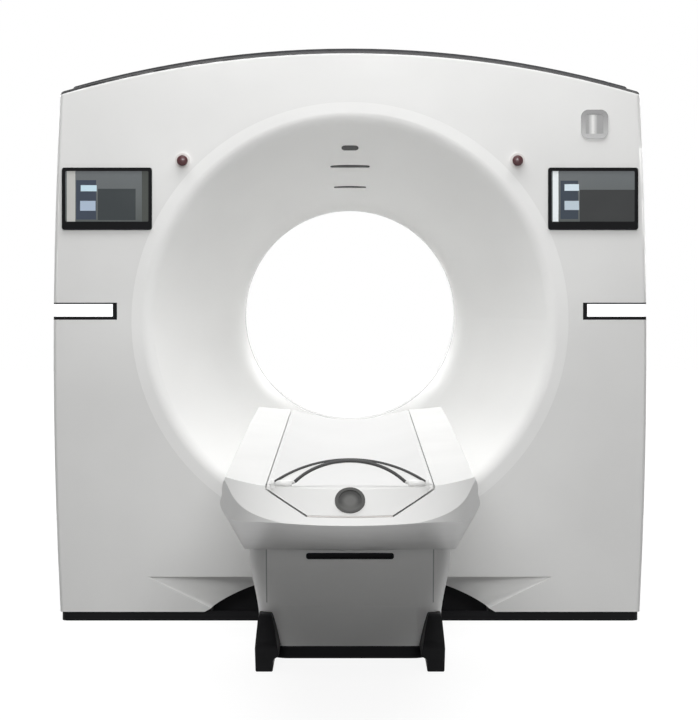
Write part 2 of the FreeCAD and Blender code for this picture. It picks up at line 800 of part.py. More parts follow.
def stator_frame():
    """Thick plate with two legs that carries the main bearing."""
    y0, y1 = stator_y, stator_y + stator_t
    plate = rod(stator_r, stator_t, (0, y0, iso_z), (0, 1, 0))
    leg = slab_xz([(stator_leg_in, base_top, 0), (stator_leg_out, base_top, 0), (stator_leg_out, 420, 120),
                   (stator_r * 0.82, stator_leg_top, 60), (stator_leg_in, stator_leg_top, 0)], y0, y1)
    plate = plate.fuse([leg, mirror_x(leg)])
    plate = plate.cut(rod(stator_bore_r, stator_t, (0, y0, iso_z), (0, 1, 0)))
    for i in range(10):
        hole = rod(52, stator_t, (690, y0, iso_z), (0, 1, 0))
        plate = plate.cut(about_bore(hole, -30 + i * 240 / 9))
    shaft_hole = rod(motor_shaft_r + 12, stator_t, (motor_x, y0, motor_z), (0, 1, 0))
    return plate.cut(shaft_hole).removeSplitter()


def bearing_outer():
    return ring(bearing_out_r, race_r, disc_y + disc_t + 8, stator_y)


def bearing_inner():
    return ring(race_r - race_gap, bearing_in_r, disc_y + disc_t, stator_y - bearing_back_gap)


def rotor_disc():
    """Turning disc with weight-saving windows and the rim that the belt runs on."""
    disc = ring(disc_r, disc_bore_r, disc_y, disc_y + disc_t)
    window = ring(disc_window_out, disc_window_in, disc_y, disc_y + disc_t).common(
        box(disc_window_in / 2, disc_r, disc_y - 1, disc_y + disc_t + 1,
            iso_z - disc_window_half, iso_z + disc_window_half))
    step = 360 / disc_window_count
    for i in range(disc_window_count):
        disc = disc.cut(about_bore(window, step / 2 + i * step))
    rim = ring(sheave_r, sheave_r - sheave_wall, disc_y + disc_t, stator_y - sheave_gap)
    return disc.fuse(rim)


def tube_unit():
    """Tube housing on top of the rotor, with its two end bells."""
    z = iso_z + focus_r + 14
    body = rod(tube_r, disc_y - tube_front, (0, tube_front, z), (0, 1, 0))
    bell = rod(tube_r * 0.72, 20, (0, tube_front - 20, z), (0, 1, 0))
    port = box(-60, 60, -55, 55, iso_z + focus_r - tube_r - 4, z)
    bracket = box(-tube_r - 30, tube_r + 30, disc_y - 18, disc_y, z - 90, z + 90)
    return body.fuse([bell, port, bracket])


def collimator():
    """Shutter box between the tube and the window."""
    top = iso_z + focus_r - tube_r - 4
    body = slab_xz([(-70, top - 72, 0), (70, top - 72, 0), (95, top, 0), (-95, top, 0)], -62, disc_y)
    slot = box(-56, 56, -22, 22, top - 80, top + 1)
    return body.cut(slot)


def detector_arc():
    """Curved row of detector modules opposite the tube."""
    focus_z = iso_z + focus_r
    outer = rod(detector_r + detector_t, disc_y + detector_half_w, (0, -detector_half_w, focus_z), (0, 1, 0))
    inner = rod(detector_r, disc_y + detector_half_w, (0, -detector_half_w, focus_z), (0, 1, 0))
    reach = 2 * (detector_r + detector_t)
    a = math.radians(detector_half_angle)
    wedge = slab_xz([(0, focus_z, 0), (-reach * math.sin(a), focus_z - reach * math.cos(a), 0),
                     (reach * math.sin(a), focus_z - reach * math.cos(a), 0)], -detector_half_w, disc_y)
    arc = outer.cut(inner).common(wedge)
    for i in range(12):
        turn = (i - 5.5) * detector_half_angle / 6.2
        fin = box(-3, 3, -detector_half_w - 1, detector_half_w - 20,
                  focus_z - detector_r - detector_t - 1, focus_z - detector_r - detector_t + 26)
        fin.rotate(V(0, 0, focus_z), V(0, 1, 0), turn)
        arc = arc.cut(fin)
    return arc


def side_unit(ribs):
    """Box of rotating electronics beside the bore, on the right; ribs run along its outside."""
    body = box(unit_in, unit_out, unit_front, disc_y, iso_z - unit_half, iso_z + unit_half)
    for i in range(ribs):
        z = iso_z - unit_half + (i + 0.5) * 2 * unit_half / ribs
        body = body.cut(box(unit_out - 18, unit_out + 1, unit_front - 1, disc_y - 20, z - 5, z + 5))
    return body


def exchanger_centre():
    return (unit_in + 60 + unit_out - 20) / 2


def heat_exchanger():
    """Oil cooler of the tube, with a round fan shroud on its front."""
    x0, x1 = unit_in + 60, unit_out - 20
    body = box(x0, x1, unit_front + 30, disc_y, iso_z - 125, iso_z + 125)
    middle = exchanger_centre()
    well = rod(fan_r + fan_gap, fan_t + 14, (middle, unit_front + 29, iso_z), (0, 1, 0))
    spindle = rod(fan_hub_r * 0.5, fan_t + 16, (middle, unit_front + 29 + 4, iso_z), (0, 1, 0))
    body = body.cut(well).fuse(spindle)
    return about_bore(body, exchanger_angle)


def exchanger_fan():
    """Small axial fan in that shroud."""
    middle = exchanger_centre()
    y0 = unit_front + 29 + 8
    hub = ring(fan_hub_r, fan_hub_r * 0.5 + 0.05, y0, y0 + fan_t, middle, iso_z)
    blade = box(fan_hub_r - 2, fan_r, -1.5, 1.5, -13, 13)
    blade.rotate(V(0, 0, 0), V(1, 0, 0), 32)
    fan = hub
    for i in range(fan_blades):
        copy = blade.copy()
        copy.rotate(V(0, 0, 0), V(0, 1, 0), i * 360 / fan_blades)
        copy.translate(V(middle, y0 + fan_t / 2, iso_z))
        fan = fan.fuse(copy)
    return about_bore(fan, exchanger_angle)


def slip_ring():
    """Grooved drum that carries current to the rotor."""
    y0 = stator_y - bearing_back_gap
    drum = ring(slip_r, slip_in_r, y0, y0 + slip_len)
    pitch = slip_len / (slip_ring_count + 1)
    for i in range(slip_ring_count):
        y = y0 + (i + 1) * pitch
        drum = drum.cut(ring(slip_r + 1, slip_r - 3, y - 5, y + 5))
    return drum


def brush_block():
    """Brush holder on the back of the stator plate."""
    y0 = stator_y + stator_t
    body = box(slip_r + seat, slip_r + 95, y0, y0 + 38, iso_z - 60, iso_z + 60)
    body = body.cut(rod(slip_r + seat, 200, (0, y0 - 10, iso_z), (0, 1, 0)))
    return about_bore(body, brush_angle)


def drive_motor():
    """Motor on the back of the stator plate, its shaft through the plate."""
    y0 = stator_y + stator_t
    body = rod(motor_r, motor_len, (motor_x, y0, motor_z), (0, 1, 0))
    for i in range(5):
        y = y0 + 35 + i * 28
        body = body.cut(ring(motor_r + 1, motor_r - 8, y, y + 12, motor_x, motor_z))
    front = stator_y - sheave_gap - belt_w - 12
    shaft = rod(motor_shaft_r, y0 - front, (motor_x, front, motor_z), (0, 1, 0))
    return body.fuse(shaft)


def belt_plane():
    """Start and end of the belt along Y, centred on the rotor's rim."""
    middle = (disc_y + disc_t + stator_y - sheave_gap) / 2
    return middle - belt_w / 2, middle + belt_w / 2


def drive_pulley():
    y0, y1 = belt_plane()
    pulley = ring(pulley_r, motor_shaft_r + pulley_gap, y0, y1, motor_x, motor_z)
    for y in (y0 - 4, y1):
        pulley = pulley.fuse(ring(pulley_r + 8, motor_shaft_r + pulley_gap, y, y + 4, motor_x, motor_z))
    return pulley


def belt_loop(extra):
    """Solid bounded by the tight loop round rotor rim and motor pulley."""
    y0, y1 = belt_plane()
    big, small = sheave_r + seat + extra, pulley_r + seat + extra
    dx, dz = motor_x, motor_z - iso_z
    distance = math.hypot(dx, dz)
    ux, uz = dx / distance, dz / distance
    lean = math.acos((big - small) / distance)
    corners = []
    for sign in (1, -1):
        c, s = math.cos(sign * lean), math.sin(sign * lean)
        nx, nz = ux * c - uz * s, ux * s + uz * c
        corners.append((V(nx * big, y0, iso_z + nz * big),
                        V(motor_x + nx * small, y0, motor_z + nz * small)))
    far_big = V(-ux * big, y0, iso_z - uz * big)
    far_small = V(motor_x + ux * small, y0, motor_z + uz * small)
    (a_big, a_small), (b_big, b_small) = corners
    edges = [Part.Arc(a_big, far_big, b_big).toShape(),
             Part.LineSegment(b_big, b_small).toShape(),
             Part.Arc(b_small, far_small, a_small).toShape(),
             Part.LineSegment(a_small, a_big).toShape()]
    return Part.Face(Part.Wire(edges)).extrude(V(0, y1 - y0, 0))


def drive_belt():
    return belt_loop(belt_t).cut(belt_loop(0))


# ---------------------------------------------------------------- table: fixed part

def table_base():
    """Base plate with roller tracks, pivot ears and the tongue that docks it to the gantry base."""
    z0, z1 = table_plate_z0, table_plate_z0 + table_plate_t
    half, front, rear = table_plate_half, table_plate_front, pedestal_rear - skirt_wall
    plate = slab_xy([(-half, front, skirt_round), (half, front, skirt_round),
                     (half, rear, 20), (-half, rear, 20)], z0, z1)
    tongue = box(-dock_half, dock_half, rear - 1, base_front - seat, z0, z1)
    ear = lift_ear(-1)
    track = lift_track(z1)
    base = plate.fuse([tongue, ear, mirror_x(ear), track, mirror_x(track)])
    for sx in (-1, 1):
        for y in (table_anchor_y0, table_anchor_y1):
            base = base.cut(rod(anchor_r, 60, (sx * table_anchor_x, y, 0), (0, 0, 1)))
    for x in (-table_plate_half + 30, table_plate_half - 30):
        for y in (table_plate_front + 40, pedestal_rear - 46):
            base = base.fuse(rod(24, z0, (x, y, 0), (0, 0, 1)))
    return base


def lift_ear(side):
    """Pivot ear beside the arms: below (-1) on the base plate, above (1) under the table frame."""
    x0, x1 = arm_in - 2 * lift_bar_t - lift_bar_gap, arm_in - lift_bar_t - lift_bar_gap
    if side < 0:
        z0, z1 = table_plate_z0 + table_plate_t, lift_foot_z
        pin_z = lift_foot_z
    else:
        z0, z1 = lift_top_z, frame_under_z
        pin_z = lift_top_z
    web = box(x0, x1, lift_y - lift_eye_r, lift_y + lift_eye_r, z0, z1)
    eye = rod(lift_eye_r, x1 - x0, (x0, lift_y, pin_z), (1, 0, 0))
    reach = arm_out if side < 0 else arm_in
    pin = rod(lift_pin_r, reach - x0, (x0, lift_y, pin_z), (1, 0, 0))
    return web.fuse([eye, pin])


def lift_track(floor_z):
    """Channel that the lower roller runs in, under the inner arms."""
    x1 = arm_in
    x0 = x1 - lift_bar_t
    low = lift_foot_z - lift_bar_h / 2 - lift_roller_gap
    bed = box(x0, x1, lift_far_y, lift_y - 120, floor_z, low)
    return bed


def arm_bar(x0, start, end):
    """Flat bar between two points of the side view, with round ends."""
    (y0, z0), (y1, z1) = start, end
    length = math.hypot(y1 - y0, z1 - z0)
    bar = box(x0, x0 + lift_bar_t, 0, length, -lift_bar_h / 2, lift_bar_h / 2)
    bar = bar.fuse([rod(lift_bar_h / 2, lift_bar_t, (x0, 0, 0), (1, 0, 0)),
                    rod(lift_bar_h / 2, lift_bar_t, (x0, length, 0), (1, 0, 0))])
    bar.rotate(V(0, 0, 0), V(1, 0, 0), math.degrees(math.atan2(z1 - z0, y1 - y0)))
    bar.translate(V(0, y0, z0))
    return bar


def lift_middle():
    return (lift_y + lift_roller_y) / 2, (lift_foot_z + lift_top_z) / 2


def lift_arm_lower():
    """Outer pair of arms, from the fixed pivots on the base up to rollers under the frame."""
    x0 = arm_out - lift_bar_t
    bar = arm_bar(x0, (lift_y, lift_foot_z), (lift_roller_y, lift_top_z))
    bar = bar.cut(rod(lift_pin_r + lift_pin_gap, 40, (x0 - 5, lift_y, lift_foot_z), (1, 0, 0)))
    my, mz = lift_middle()
    bar = bar.fuse(rod(lift_pin_r, arm_out - arm_in + lift_bar_t, (arm_in - lift_bar_t, my, mz), (1, 0, 0)))
    pair = both_sides(bar)
    tie = rod(14, 2 * x0 + 2, (-x0 - 1, lift_roller_y, lift_top_z), (1, 0, 0))
    return pair.fuse(tie)


def lift_arm_upper():
    """Inner pair of arms, pinned at mid-length, from rollers on the base up to the frame's pivots."""
    x0 = arm_in - lift_bar_t
    bar = arm_bar(x0, (lift_roller_y, lift_foot_z), (lift_y, lift_top_z))
    bar = bar.cut(rod(lift_pin_r + lift_pin_gap, 40, (x0 - 5, lift_y, lift_top_z), (1, 0, 0)))
    my, mz = lift_middle()
    bar = bar.cut(rod(lift_pin_r + lift_pin_gap, 40, (x0 - 5, my, mz), (1, 0, 0)))
    tie = rod(14, 2 * x0 + 2, (-x0 - 1, lift_roller_y, lift_foot_z), (1, 0, 0))
    return both_sides(bar).fuse(tie)


def lift_motor():
    """Gear motor on the base plate that drives the lower pivots."""
    z1 = table_plate_z0 + table_plate_t
    gear = box(-70, 30, lift_y - 45, lift_y + lift_eye_r, z1, lift_foot_z + 45)
    inner = arm_in - 2 * lift_bar_t - lift_bar_gap
    shaft = rod(14, 2 * inner, (-inner, lift_y, lift_foot_z), (1, 0, 0))
    motor = rod(44, 100, (-20, lift_y - 45, lift_foot_z + 2), (0, -1, 0))
    return gear.fuse([shaft, motor])


def pedestal_section(grow, z, front, half):
    r = pedestal_round + grow
    corners = [(-half - grow, front - grow, r), (half + grow, front - grow, r),
               (half + grow, pedestal_rear + grow, 20 + grow), (-half - grow, pedestal_rear + grow, 20 + grow)]
    return Part.Wire(rounded_edges(corners, lambda p: V(p.x, p.y, z)))


def pedestal_half(z):
    """Half width of the pedestal at a height, between the given heights in straight steps."""
    for (z0, h0), (z1, h1) in zip(pedestal_halves, pedestal_halves[1:]):
        if z <= z1:
            return h0 + (z - z0) / (z1 - z0) * (h1 - h0)
    return pedestal_halves[-1][1]


def pedestal_front(z):
    share = (z - pedestal_foot_z) / (pedestal_top_z - pedestal_foot_z)
    return pedestal_front_foot + share * (pedestal_front_top - pedestal_front_foot)


def pedestal_block(grow, z0, z1):
    """Flared block of the pedestal between two heights."""
    inside = [z for z, half in pedestal_halves if z0 + 1 < z < z1 - 1]
    sections = [pedestal_section(grow, z, pedestal_front(z), pedestal_half(z)) for z in [z0] + inside + [z1]]
    return Part.makeLoft(sections, True, len(sections) < 3)


def front_wedge(w_top, w_foot, z0, z1, depth):
    """Block whose outline in the front view tapers, ahead of the pedestal's face."""
    return slab_xz([(-w_foot, z0, 8), (w_foot, z0, 8), (w_top, z1, 8), (-w_top, z1, 8)],
                   pedestal_front_top - 60, pedestal_front_foot + depth)


def pedestal_cover():
    """Tapered shell round the lift, with a panel line on its front and the slot near its top."""
    shell = pedestal_block(0, pedestal_foot_z, pedestal_top_z)
    shell = shell.cut(pedestal_block(-pedestal_wall, pedestal_foot_z - 1, pedestal_top_z + 1))
    # panel joint: a shallow groove that frames the front
    skin = pedestal_block(0, pedestal_foot_z, shell_deep_z).cut(
        pedestal_block(-1.6, pedestal_foot_z - 1, shell_deep_z + 1))
    outline = front_wedge(panel_half_top, panel_half_foot, pedestal_foot_z + 6, shell_deep_z - 4, 60)
    inner = front_wedge(panel_half_top - 3, panel_half_foot - 3, pedestal_foot_z + 9, shell_deep_z - 7, 60)
    groove = outline.cut(inner).common(skin)
    line_half = panel_half_foot + 18
    line = box(-line_half, line_half, pedestal_front_top - 60, pedestal_front_foot + 60,
               panel_line_z - 1.5, panel_line_z + 1.5).common(skin)
    shell = shell.cut(groove).cut(line)
    slot = slab_xz(oblong(slot_w + 2 * seat, slot_h + 2 * seat, 8, 0, slot_z),
                   pedestal_front_top - 60, pedestal_front_foot + 60)
    return shell.cut(slot)


def slot_trim():
    """Black rounded insert that lines the slot."""
    y_face = pedestal_front(slot_z)
    trim = slab_xz(oblong(slot_w, slot_h, 7.8, 0, slot_z), y_face - 3, y_face + 12)
    dish = slab_xz(oblong(slot_w - 8, slot_h - 8, 4, 0, slot_z), y_face - 4, y_face + 6)
    return trim.cut(dish)


def table_skirt():
    """Black plinth under the pedestal."""
    r = skirt_round
    top = pedestal_foot_z - seat
    outer = slab_xy([(-skirt_half, skirt_front, r), (skirt_half, skirt_front, r),
                     (skirt_half, pedestal_rear, 20), (-skirt_half, pedestal_rear, 20)], 0, top)
    w = skirt_wall
    inner = slab_xy([(-skirt_half + w, skirt_front + w, r - w), (skirt_half - w, skirt_front + w, r - w),
                     (skirt_half - w, pedestal_rear - w, 20 - w), (-skirt_half + w, pedestal_rear - w, 20 - w)],
                    -1, top + 1)
    lip = pedestal_block(-2, pedestal_foot_z - 8, pedestal_foot_z - seat).cut(
        slab_xy([(-skirt_half + w, skirt_front + w, r - w), (skirt_half - w, skirt_front + w, r - w),
                 (skirt_half - w, pedestal_rear - w, 20 - w), (-skirt_half + w, pedestal_rear - w, 20 - w)],
                0, top + 1))
    skirt = outer.cut(inner).fuse(lip)
    gate = box(-dock_half - 5, dock_half + 5, pedestal_rear - w - 1, pedestal_rear + 1, -1,
               table_plate_z0 + table_plate_t + 5)
    return skirt.cut(gate)


def foot_fairing():
    """Black moulded foot at the right front corner of the table."""
    side = [(fairing_front, 0, 0), (fairing_rear, 0, 0), (fairing_rear, fairing_top * 0.97, 10),
            (fairing_front + 150, fairing_top, 50), (fairing_front + 22, 84, 46)]
    body = slab_yz(side, fairing_wrap - 10, fairing_out + 10)
    x0, x1 = fairing_in, fairing_out
    front = slab_xz([(x0, 0, 5), (x1 - 3, 0, 5), (x1, 70, 30), (x1 - 6, fairing_top + 4, 20),
                     (x0 + 10, fairing_top + 4, 20), (x0 - 4, 116, 20), (fairing_wrap, pedestal_foot_z + 3, 4),
                     (x0, pedestal_foot_z - 8, 8)], fairing_front - 1, fairing_rear + 1)
    body = body.common(front)
    body = body.cut(pedestal_block(seat, pedestal_foot_z, pedestal_top_z))
    foot = pedestal_section(seat, pedestal_foot_z, pedestal_front_foot, pedestal_half(pedestal_foot_z))
    body = body.cut(Part.Face(foot).extrude(V(0, 0, -fairing_under)))
    skirt_clear = slab_xy([(-skirt_half - seat, skirt_front - seat, 60), (skirt_half + seat, skirt_front - seat, 60),
                           (skirt_half + seat, pedestal_rear, 20), (-skirt_half - seat, pedestal_rear, 20)],
                          -1, pedestal_foot_z + 1)
    return largest(body.cut(skirt_clear))


# ---------------------------------------------------------------- table: moving part

def lift_sleeve():
    """Inner sleeve that hangs from the frame and slides inside the pedestal."""
    def plan(inset):
        r = sleeve_round - inset
        return [(-sleeve_half + inset, sleeve_front + inset, r), (sleeve_half - inset, sleeve_front + inset, r),
                (sleeve_half - inset, sleeve_rear - inset, 15), (-sleeve_half + inset, sleeve_rear - inset, 15)]
    outer = slab_xy(plan(0), sleeve_foot_z, frame_under_z)
    sleeve = outer.cut(slab_xy(plan(sleeve_wall), sleeve_foot_z - 1, frame_under_z + 1))
    for y in (sleeve_front + sleeve_wall / 2, sleeve_rear - sleeve_wall / 2 - 24):
        tab = box(-frame_half, frame_half, y, y + 24, frame_under_z - 6, frame_under_z)
        sleeve = sleeve.fuse(tab)
    return sleeve


def frame_pitch():
    """Distance from one cross beam of the frame to the next."""
    return (frame_head_y - frame_foot_y - frame_beam) / frame_bays


def table_frame():
    """Steel ladder frame under the cradle, with roller tracks, pivot ears and glide pads."""
    z0, z1 = frame_under_z, frame_top_z
    frame = box(-frame_half, frame_half, frame_foot_y, frame_head_y, z0, z1)
    inner_half = frame_half - frame_beam
    pitch = frame_pitch()
    for i in range(frame_bays):
        y = frame_foot_y + frame_beam + i * pitch
        frame = frame.cut(box(-inner_half, inner_half, y, y + pitch - frame_beam, z0 - 1, z1 + 1))
    ear = lift_ear(1)
    x1 = arm_out
    x0 = x1 - lift_bar_t
    high = lift_top_z + lift_bar_h / 2 + lift_roller_gap
    track = box(x0, x1, lift_far_y, lift_y - 120, high, z0)
    bridge = box(frame_half - 1, x1, lift_far_y, lift_y - 120, z0, z0 + 8)
    bridge_ear = box(inner_half, arm_in - lift_bar_t - lift_bar_gap, lift_y - lift_eye_r,
                     lift_y + lift_eye_r, z0, z0 + 8)
    for piece in (ear, track, bridge, bridge_ear):
        frame = frame.fuse([piece, mirror_x(piece)])
    for i in range(glide_count):
        y = frame_foot_y + 60 + i * 620
        post = box(-45, 45, y, y + 40, z1 - 10, cradle_under_z - seat)
        bar = box(-inner_half - 1, inner_half + 1, y, y + 40, z1 - 24, z1)
        frame = frame.fuse([post, bar])
    hollow = cradle_channel(cradle_gap + shell_wall + seat)
    for i in range(bracket_count):
        y = frame_foot_y + 20 + i * (frame_head_y - frame_foot_y - 80) / (bracket_count - 1)
        bracket = box(frame_half - 24, frame_half, y, y + 40, z1 - 2, cradle_rim_z).cut(hollow)
        frame = frame.fuse([bracket, mirror_x(bracket)])
    for sx in (-1, 1):
        x = sx * (roller_half + 10)
        cheek = box(x - 4, x + 4, roller_y - 20, roller_y + 20, z0 + 4, roller_axis_z + 14)
        frame = frame.fuse(cheek)
    shaft = rod(roller_shaft_r, 2 * roller_half + 28, (-roller_half - 14, roller_y, roller_axis_z), (1, 0, 0))
    beam_piece = box(-inner_half - 1, inner_half + 1, roller_y - 20, roller_y + 20, z0, z0 + 8)
    return frame.fuse([shaft, beam_piece])


def cradle_roller():
    """Roller at the head end that carries the cradle."""
    body = rod(roller_r, 2 * roller_half, (-roller_half, roller_y, roller_axis_z), (1, 0, 0))
    bore = rod(roller_shaft_r + roller_shaft_gap, 2 * roller_half, (-roller_half, roller_y, roller_axis_z), (1, 0, 0))
    return body.cut(bore)


def cradle_drive():
    """Motor and friction wheel housing under the frame that moves the cradle."""
    y = frame_head_y - frame_pitch() + drive_gap
    body = box(-drive_half, drive_half, y, y + drive_len, frame_under_z + 10, frame_top_z)
    motor = rod(drive_motor_r, drive_motor_len, (drive_half - 10, y + drive_len / 3, frame_under_z + 30), (-1, 0, 0))
    inner_half = frame_half - frame_beam
    strap = box(-inner_half, inner_half, y + drive_len / 2 - 20, y + drive_len / 2 + 20,
                frame_under_z + 4, frame_under_z + 12)
    return body.fuse([motor, strap])


def shell_section(y, bottom_z, half_low, half_high, radius, belly, inset):
    """Closed outline of the upper body at one place along Y: curved bottom, wide top."""
    low, high, r = half_low - inset, half_high - inset, radius - inset
    corners = [(-low, bottom_z + belly + inset, r), (0, bottom_z + inset, 5 * low), (low, bottom_z + belly + inset, r),
               (high, shell_rim_z - 30, 60), (high - 12, shell_rim_z - inset, 10),
               (-high + 12, shell_rim_z - inset, 10), (-high, shell_rim_z - 30, 60)]
    return Part.Wire(rounded_edges(corners, lambda p: V(p.x, y, p.y)))


def shell_block(inset):
    """Upper body from the nose to the head end as one tapering solid."""
    nose = shell_section(shell_foot_y, shell_nose_z, shell_nose_half, shell_half, shell_nose_round, shell_nose_belly,
                         inset)
    deep = shell_section(shell_deep_y, shell_deep_z, shell_deep_half, shell_head_half, shell_deep_round,
                         shell_deep_belly, inset)
    head = shell_section(shell_head_y - inset, shell_deep_z, shell_deep_half, shell_head_half, shell_deep_round,
                         shell_deep_belly, inset)
    return Part.makeLoft([nose, deep], True, True).fuse(Part.makeLoft([deep, head], True, True))


def nose_outline(back, z, radius):
    """Plan outline: an arc round the tip, then straight flanks, moved back along Y."""
    turn = math.radians(nose_arc)
    out = shell_deep_half + 20
    y_tip = shell_foot_y + back
    x_flank, y_flank = radius * math.sin(turn), y_tip + radius * (1 - math.cos(turn))
    y_out = y_flank + (out - x_flank) * math.tan(turn)
    y_end = shell_head_y + 10
    a, b, c = V(-x_flank, y_flank, z), V(0, y_tip, z), V(x_flank, y_flank, z)
    d, e, f, g = V(out, y_out, z), V(out, y_end, z), V(-out, y_end, z), V(-out, y_out, z)
    edges = [Part.Arc(a, b, c).toShape()]
    for start, end in ((c, d), (d, e), (e, f), (f, g), (g, a)):
        edges.append(Part.LineSegment(start, end).toShape())
    return Part.Wire(edges)


def nose_block(inset):
    """Space behind the nose: upright below its lip, leaning back above it."""
    low, high = shell_deep_z - 10, shell_rim_z + 100
    per_mm = 1 / math.tan(math.radians(nose_slope))
    lean_inset = inset / math.sin(math.radians(nose_slope))
    leaning = Part.makeLoft([nose_outline(lean_inset + (z - shell_nose_z) * per_mm, z, nose_radius - lean_inset)
                             for z in (low, high)], True, True)
    upright = Part.Face(nose_outline(inset, low, nose_low_radius - inset)).extrude(V(0, 0, high - low))
    return leaning.common(upright)


def cradle_section(gap, top):
    """The cradle's outline from the front below a height, widened all round by a gap."""
    path = [(-cradle_half, top), (-cradle_half, cradle_side_z), (-cradle_flat, cradle_under_z),
            (cradle_flat, cradle_under_z), (cradle_half, cradle_side_z), (cradle_half, top)]
    if gap:
        path = offset_path(path, -gap)
    return [(x, z, 0) for x, z in path]


def cradle_channel(gap):
    """Space for the cradle over the table's whole length."""
    return slab_xz(cradle_section(gap, iso_z), shell_foot_y - 100, shell_head_y + 100)


def wing_cut(drop):
    """Shallow dip from the outer rims towards the cradle."""
    half = shell_deep_half + 30
    z_in, z_out = shell_wing_z - drop, shell_rim_z - drop
    edges_points = [(-half, z_out + 3, 0), (-cradle_half - 20, z_in, 0), (cradle_half + 20, z_in, 0),
                    (half, z_out + 3, 0), (half, z_out + 200, 0), (-half, z_out + 200, 0)]
    return slab_xz(edges_points, shell_foot_y - 10, shell_head_y + 10)


def table_shell():
    """White upper body: wings beside the cradle, curved nose, slanting underside, open below the lift."""
    outer = shell_block(0).common(nose_block(0)).cut(wing_cut(0)).cut(cradle_channel(cradle_gap))
    inner = shell_block(shell_wall).common(nose_block(shell_wall)).cut(
        wing_cut(shell_wall)).cut(cradle_channel(cradle_gap + shell_wall))
    shell = outer.cut(inner)
    half = shell_deep_half - shell_wall - 1
    well = box(-half, half, pedestal_front_top - 14, shell_head_y - shell_wall,
               shell_deep_z - 1, shell_deep_z + shell_deep_round)
    shell = shell.cut(well)
    for i in range(glide_count):
        y = frame_foot_y + 60 + i * 620
        shell = shell.cut(box(-48, 48, y - 3, y + 43, frame_top_z, cradle_under_z))
    hatch = box(-roller_half - 18, roller_half + 18, roller_y - 50, roller_y + 30, roller_axis_z - 30,
                cradle_under_z + 6)
    shell = shell.cut(hatch)
    return largest(shell)


def cradle():
    """Long curved carbon board that the patient lies on."""
    body = slab_xz(cradle_section(0, cradle_rim_z), cradle_foot_y, cradle_head_y)
    half = cradle_half - cradle_rim
    sag = cradle_rim_z - cradle_top_z
    top_r = (half ** 2 + sag ** 2) / (2 * sag)
    hollow = rod(top_r, cradle_head_y - cradle_foot_y + 20, (0, cradle_foot_y - 10, cradle_top_z + top_r), (0, 1, 0))
    board = body.cut(hollow)
    head = slab_xy([(-cradle_half - 5, cradle_foot_y - 5, 0), (cradle_half + 5, cradle_foot_y - 5, 0),
                    (cradle_half, cradle_head_y, 120), (-cradle_half, cradle_head_y, 120)], 600, 800)
    return board.common(head)


# ---- foot end: the cap, its plain round plate and the bail

def nose_face_y(z):
    """Where the end cap's sloping face lies in the middle plane, at a height."""
    back = cap_back / math.sin(math.radians(nose_slope))
    return shell_foot_y + back + (z - shell_nose_z) / math.tan(math.radians(nose_slope))


def on_slope(shape, y, z):
    """Lays a piece that is drawn flat onto the slope, with its own origin at a point."""
    copy = shape.copy()
    copy.rotate(V(0, 0, 0), V(1, 0, 0), nose_slope)
    copy.translate(V(0, y, z))
    return copy


def on_cap(shape):
    return on_slope(shape, nose_face_y(disc_mark_z), disc_mark_z)


def cradle_end_cap():
    """Moulded foot end of the cradle with its sloping face and the ears of the bail."""
    cap = slab_xz(cradle_section(0, cap_top_z), shell_foot_y, cradle_foot_y).common(nose_block(cap_back))
    cap = cap.cut(on_cap(rod(disc_mark_r + 0.2, 12, (0, 0, -4), (0, 0, 1))))
    x = handle_half + 1
    ear = rod(handle_t * 0.62, 9, (x, handle_y, handle_z), (1, 0, 0))
    stem = box(x, x + 9, handle_y - 8, handle_y + 8, cap_top_z - 4, handle_z)
    ears = ear.fuse(stem)
    hole = rod(handle_pin_r + handle_pin_gap, 7, (handle_half, handle_y, handle_z), (1, 0, 0))
    ears = ears.cut(hole)
    return largest(cap.fuse([ears, mirror_x(ears)]))


def end_disc():
    """Plain round plate on the end face."""
    plate = rod(disc_mark_r, 7, (0, 0, -4), (0, 0, 1))
    dish = rod(disc_mark_r - 8, 3, (0, 0, 1), (0, 0, 1))
    return on_cap(plate.cut(dish))


def release_handle():
    """Arched bail over the end cap, turning on two pins."""
    half, rise, bar = handle_half, handle_rise, handle_bar
    foot = 2.6 * bar

    def arc(width, height):
        return Part.Arc(V(-width, 0, 0), V(0, height, 0), V(width, 0, 0)).toShape()

    outer, inner = arc(half, rise), arc(half - foot, rise - bar * 0.6)
    ends = [Part.LineSegment(V(half - foot, 0, 0), V(half, 0, 0)).toShape(),
            Part.LineSegment(V(-half, 0, 0), V(-half + foot, 0, 0)).toShape()]
    wire = Part.Wire(Part.__sortEdges__([outer, inner] + ends))
    bail = Part.Face(wire).extrude(V(0, 0, handle_t))
    bail.translate(V(0, 0, -handle_t / 2))
    bail = on_slope(bail, handle_y, handle_z)
    knuckle = rod(handle_t * 0.5, foot * 0.8, (half - foot * 0.8, handle_y, handle_z), (1, 0, 0))
    pin = rod(handle_pin_r, 6, (half, handle_y, handle_z), (1, 0, 0))
    knuckles = knuckle.fuse(pin)
    bail = bail.fuse([knuckles, mirror_x(knuckles)])
    floor = box(-half - 1, half + 1, handle_y - 60, handle_y + 60, cap_top_z - 40, cap_top_z + seat)
    return bail.cut(floor)


# ---------------------------------------------------------------- all pieces

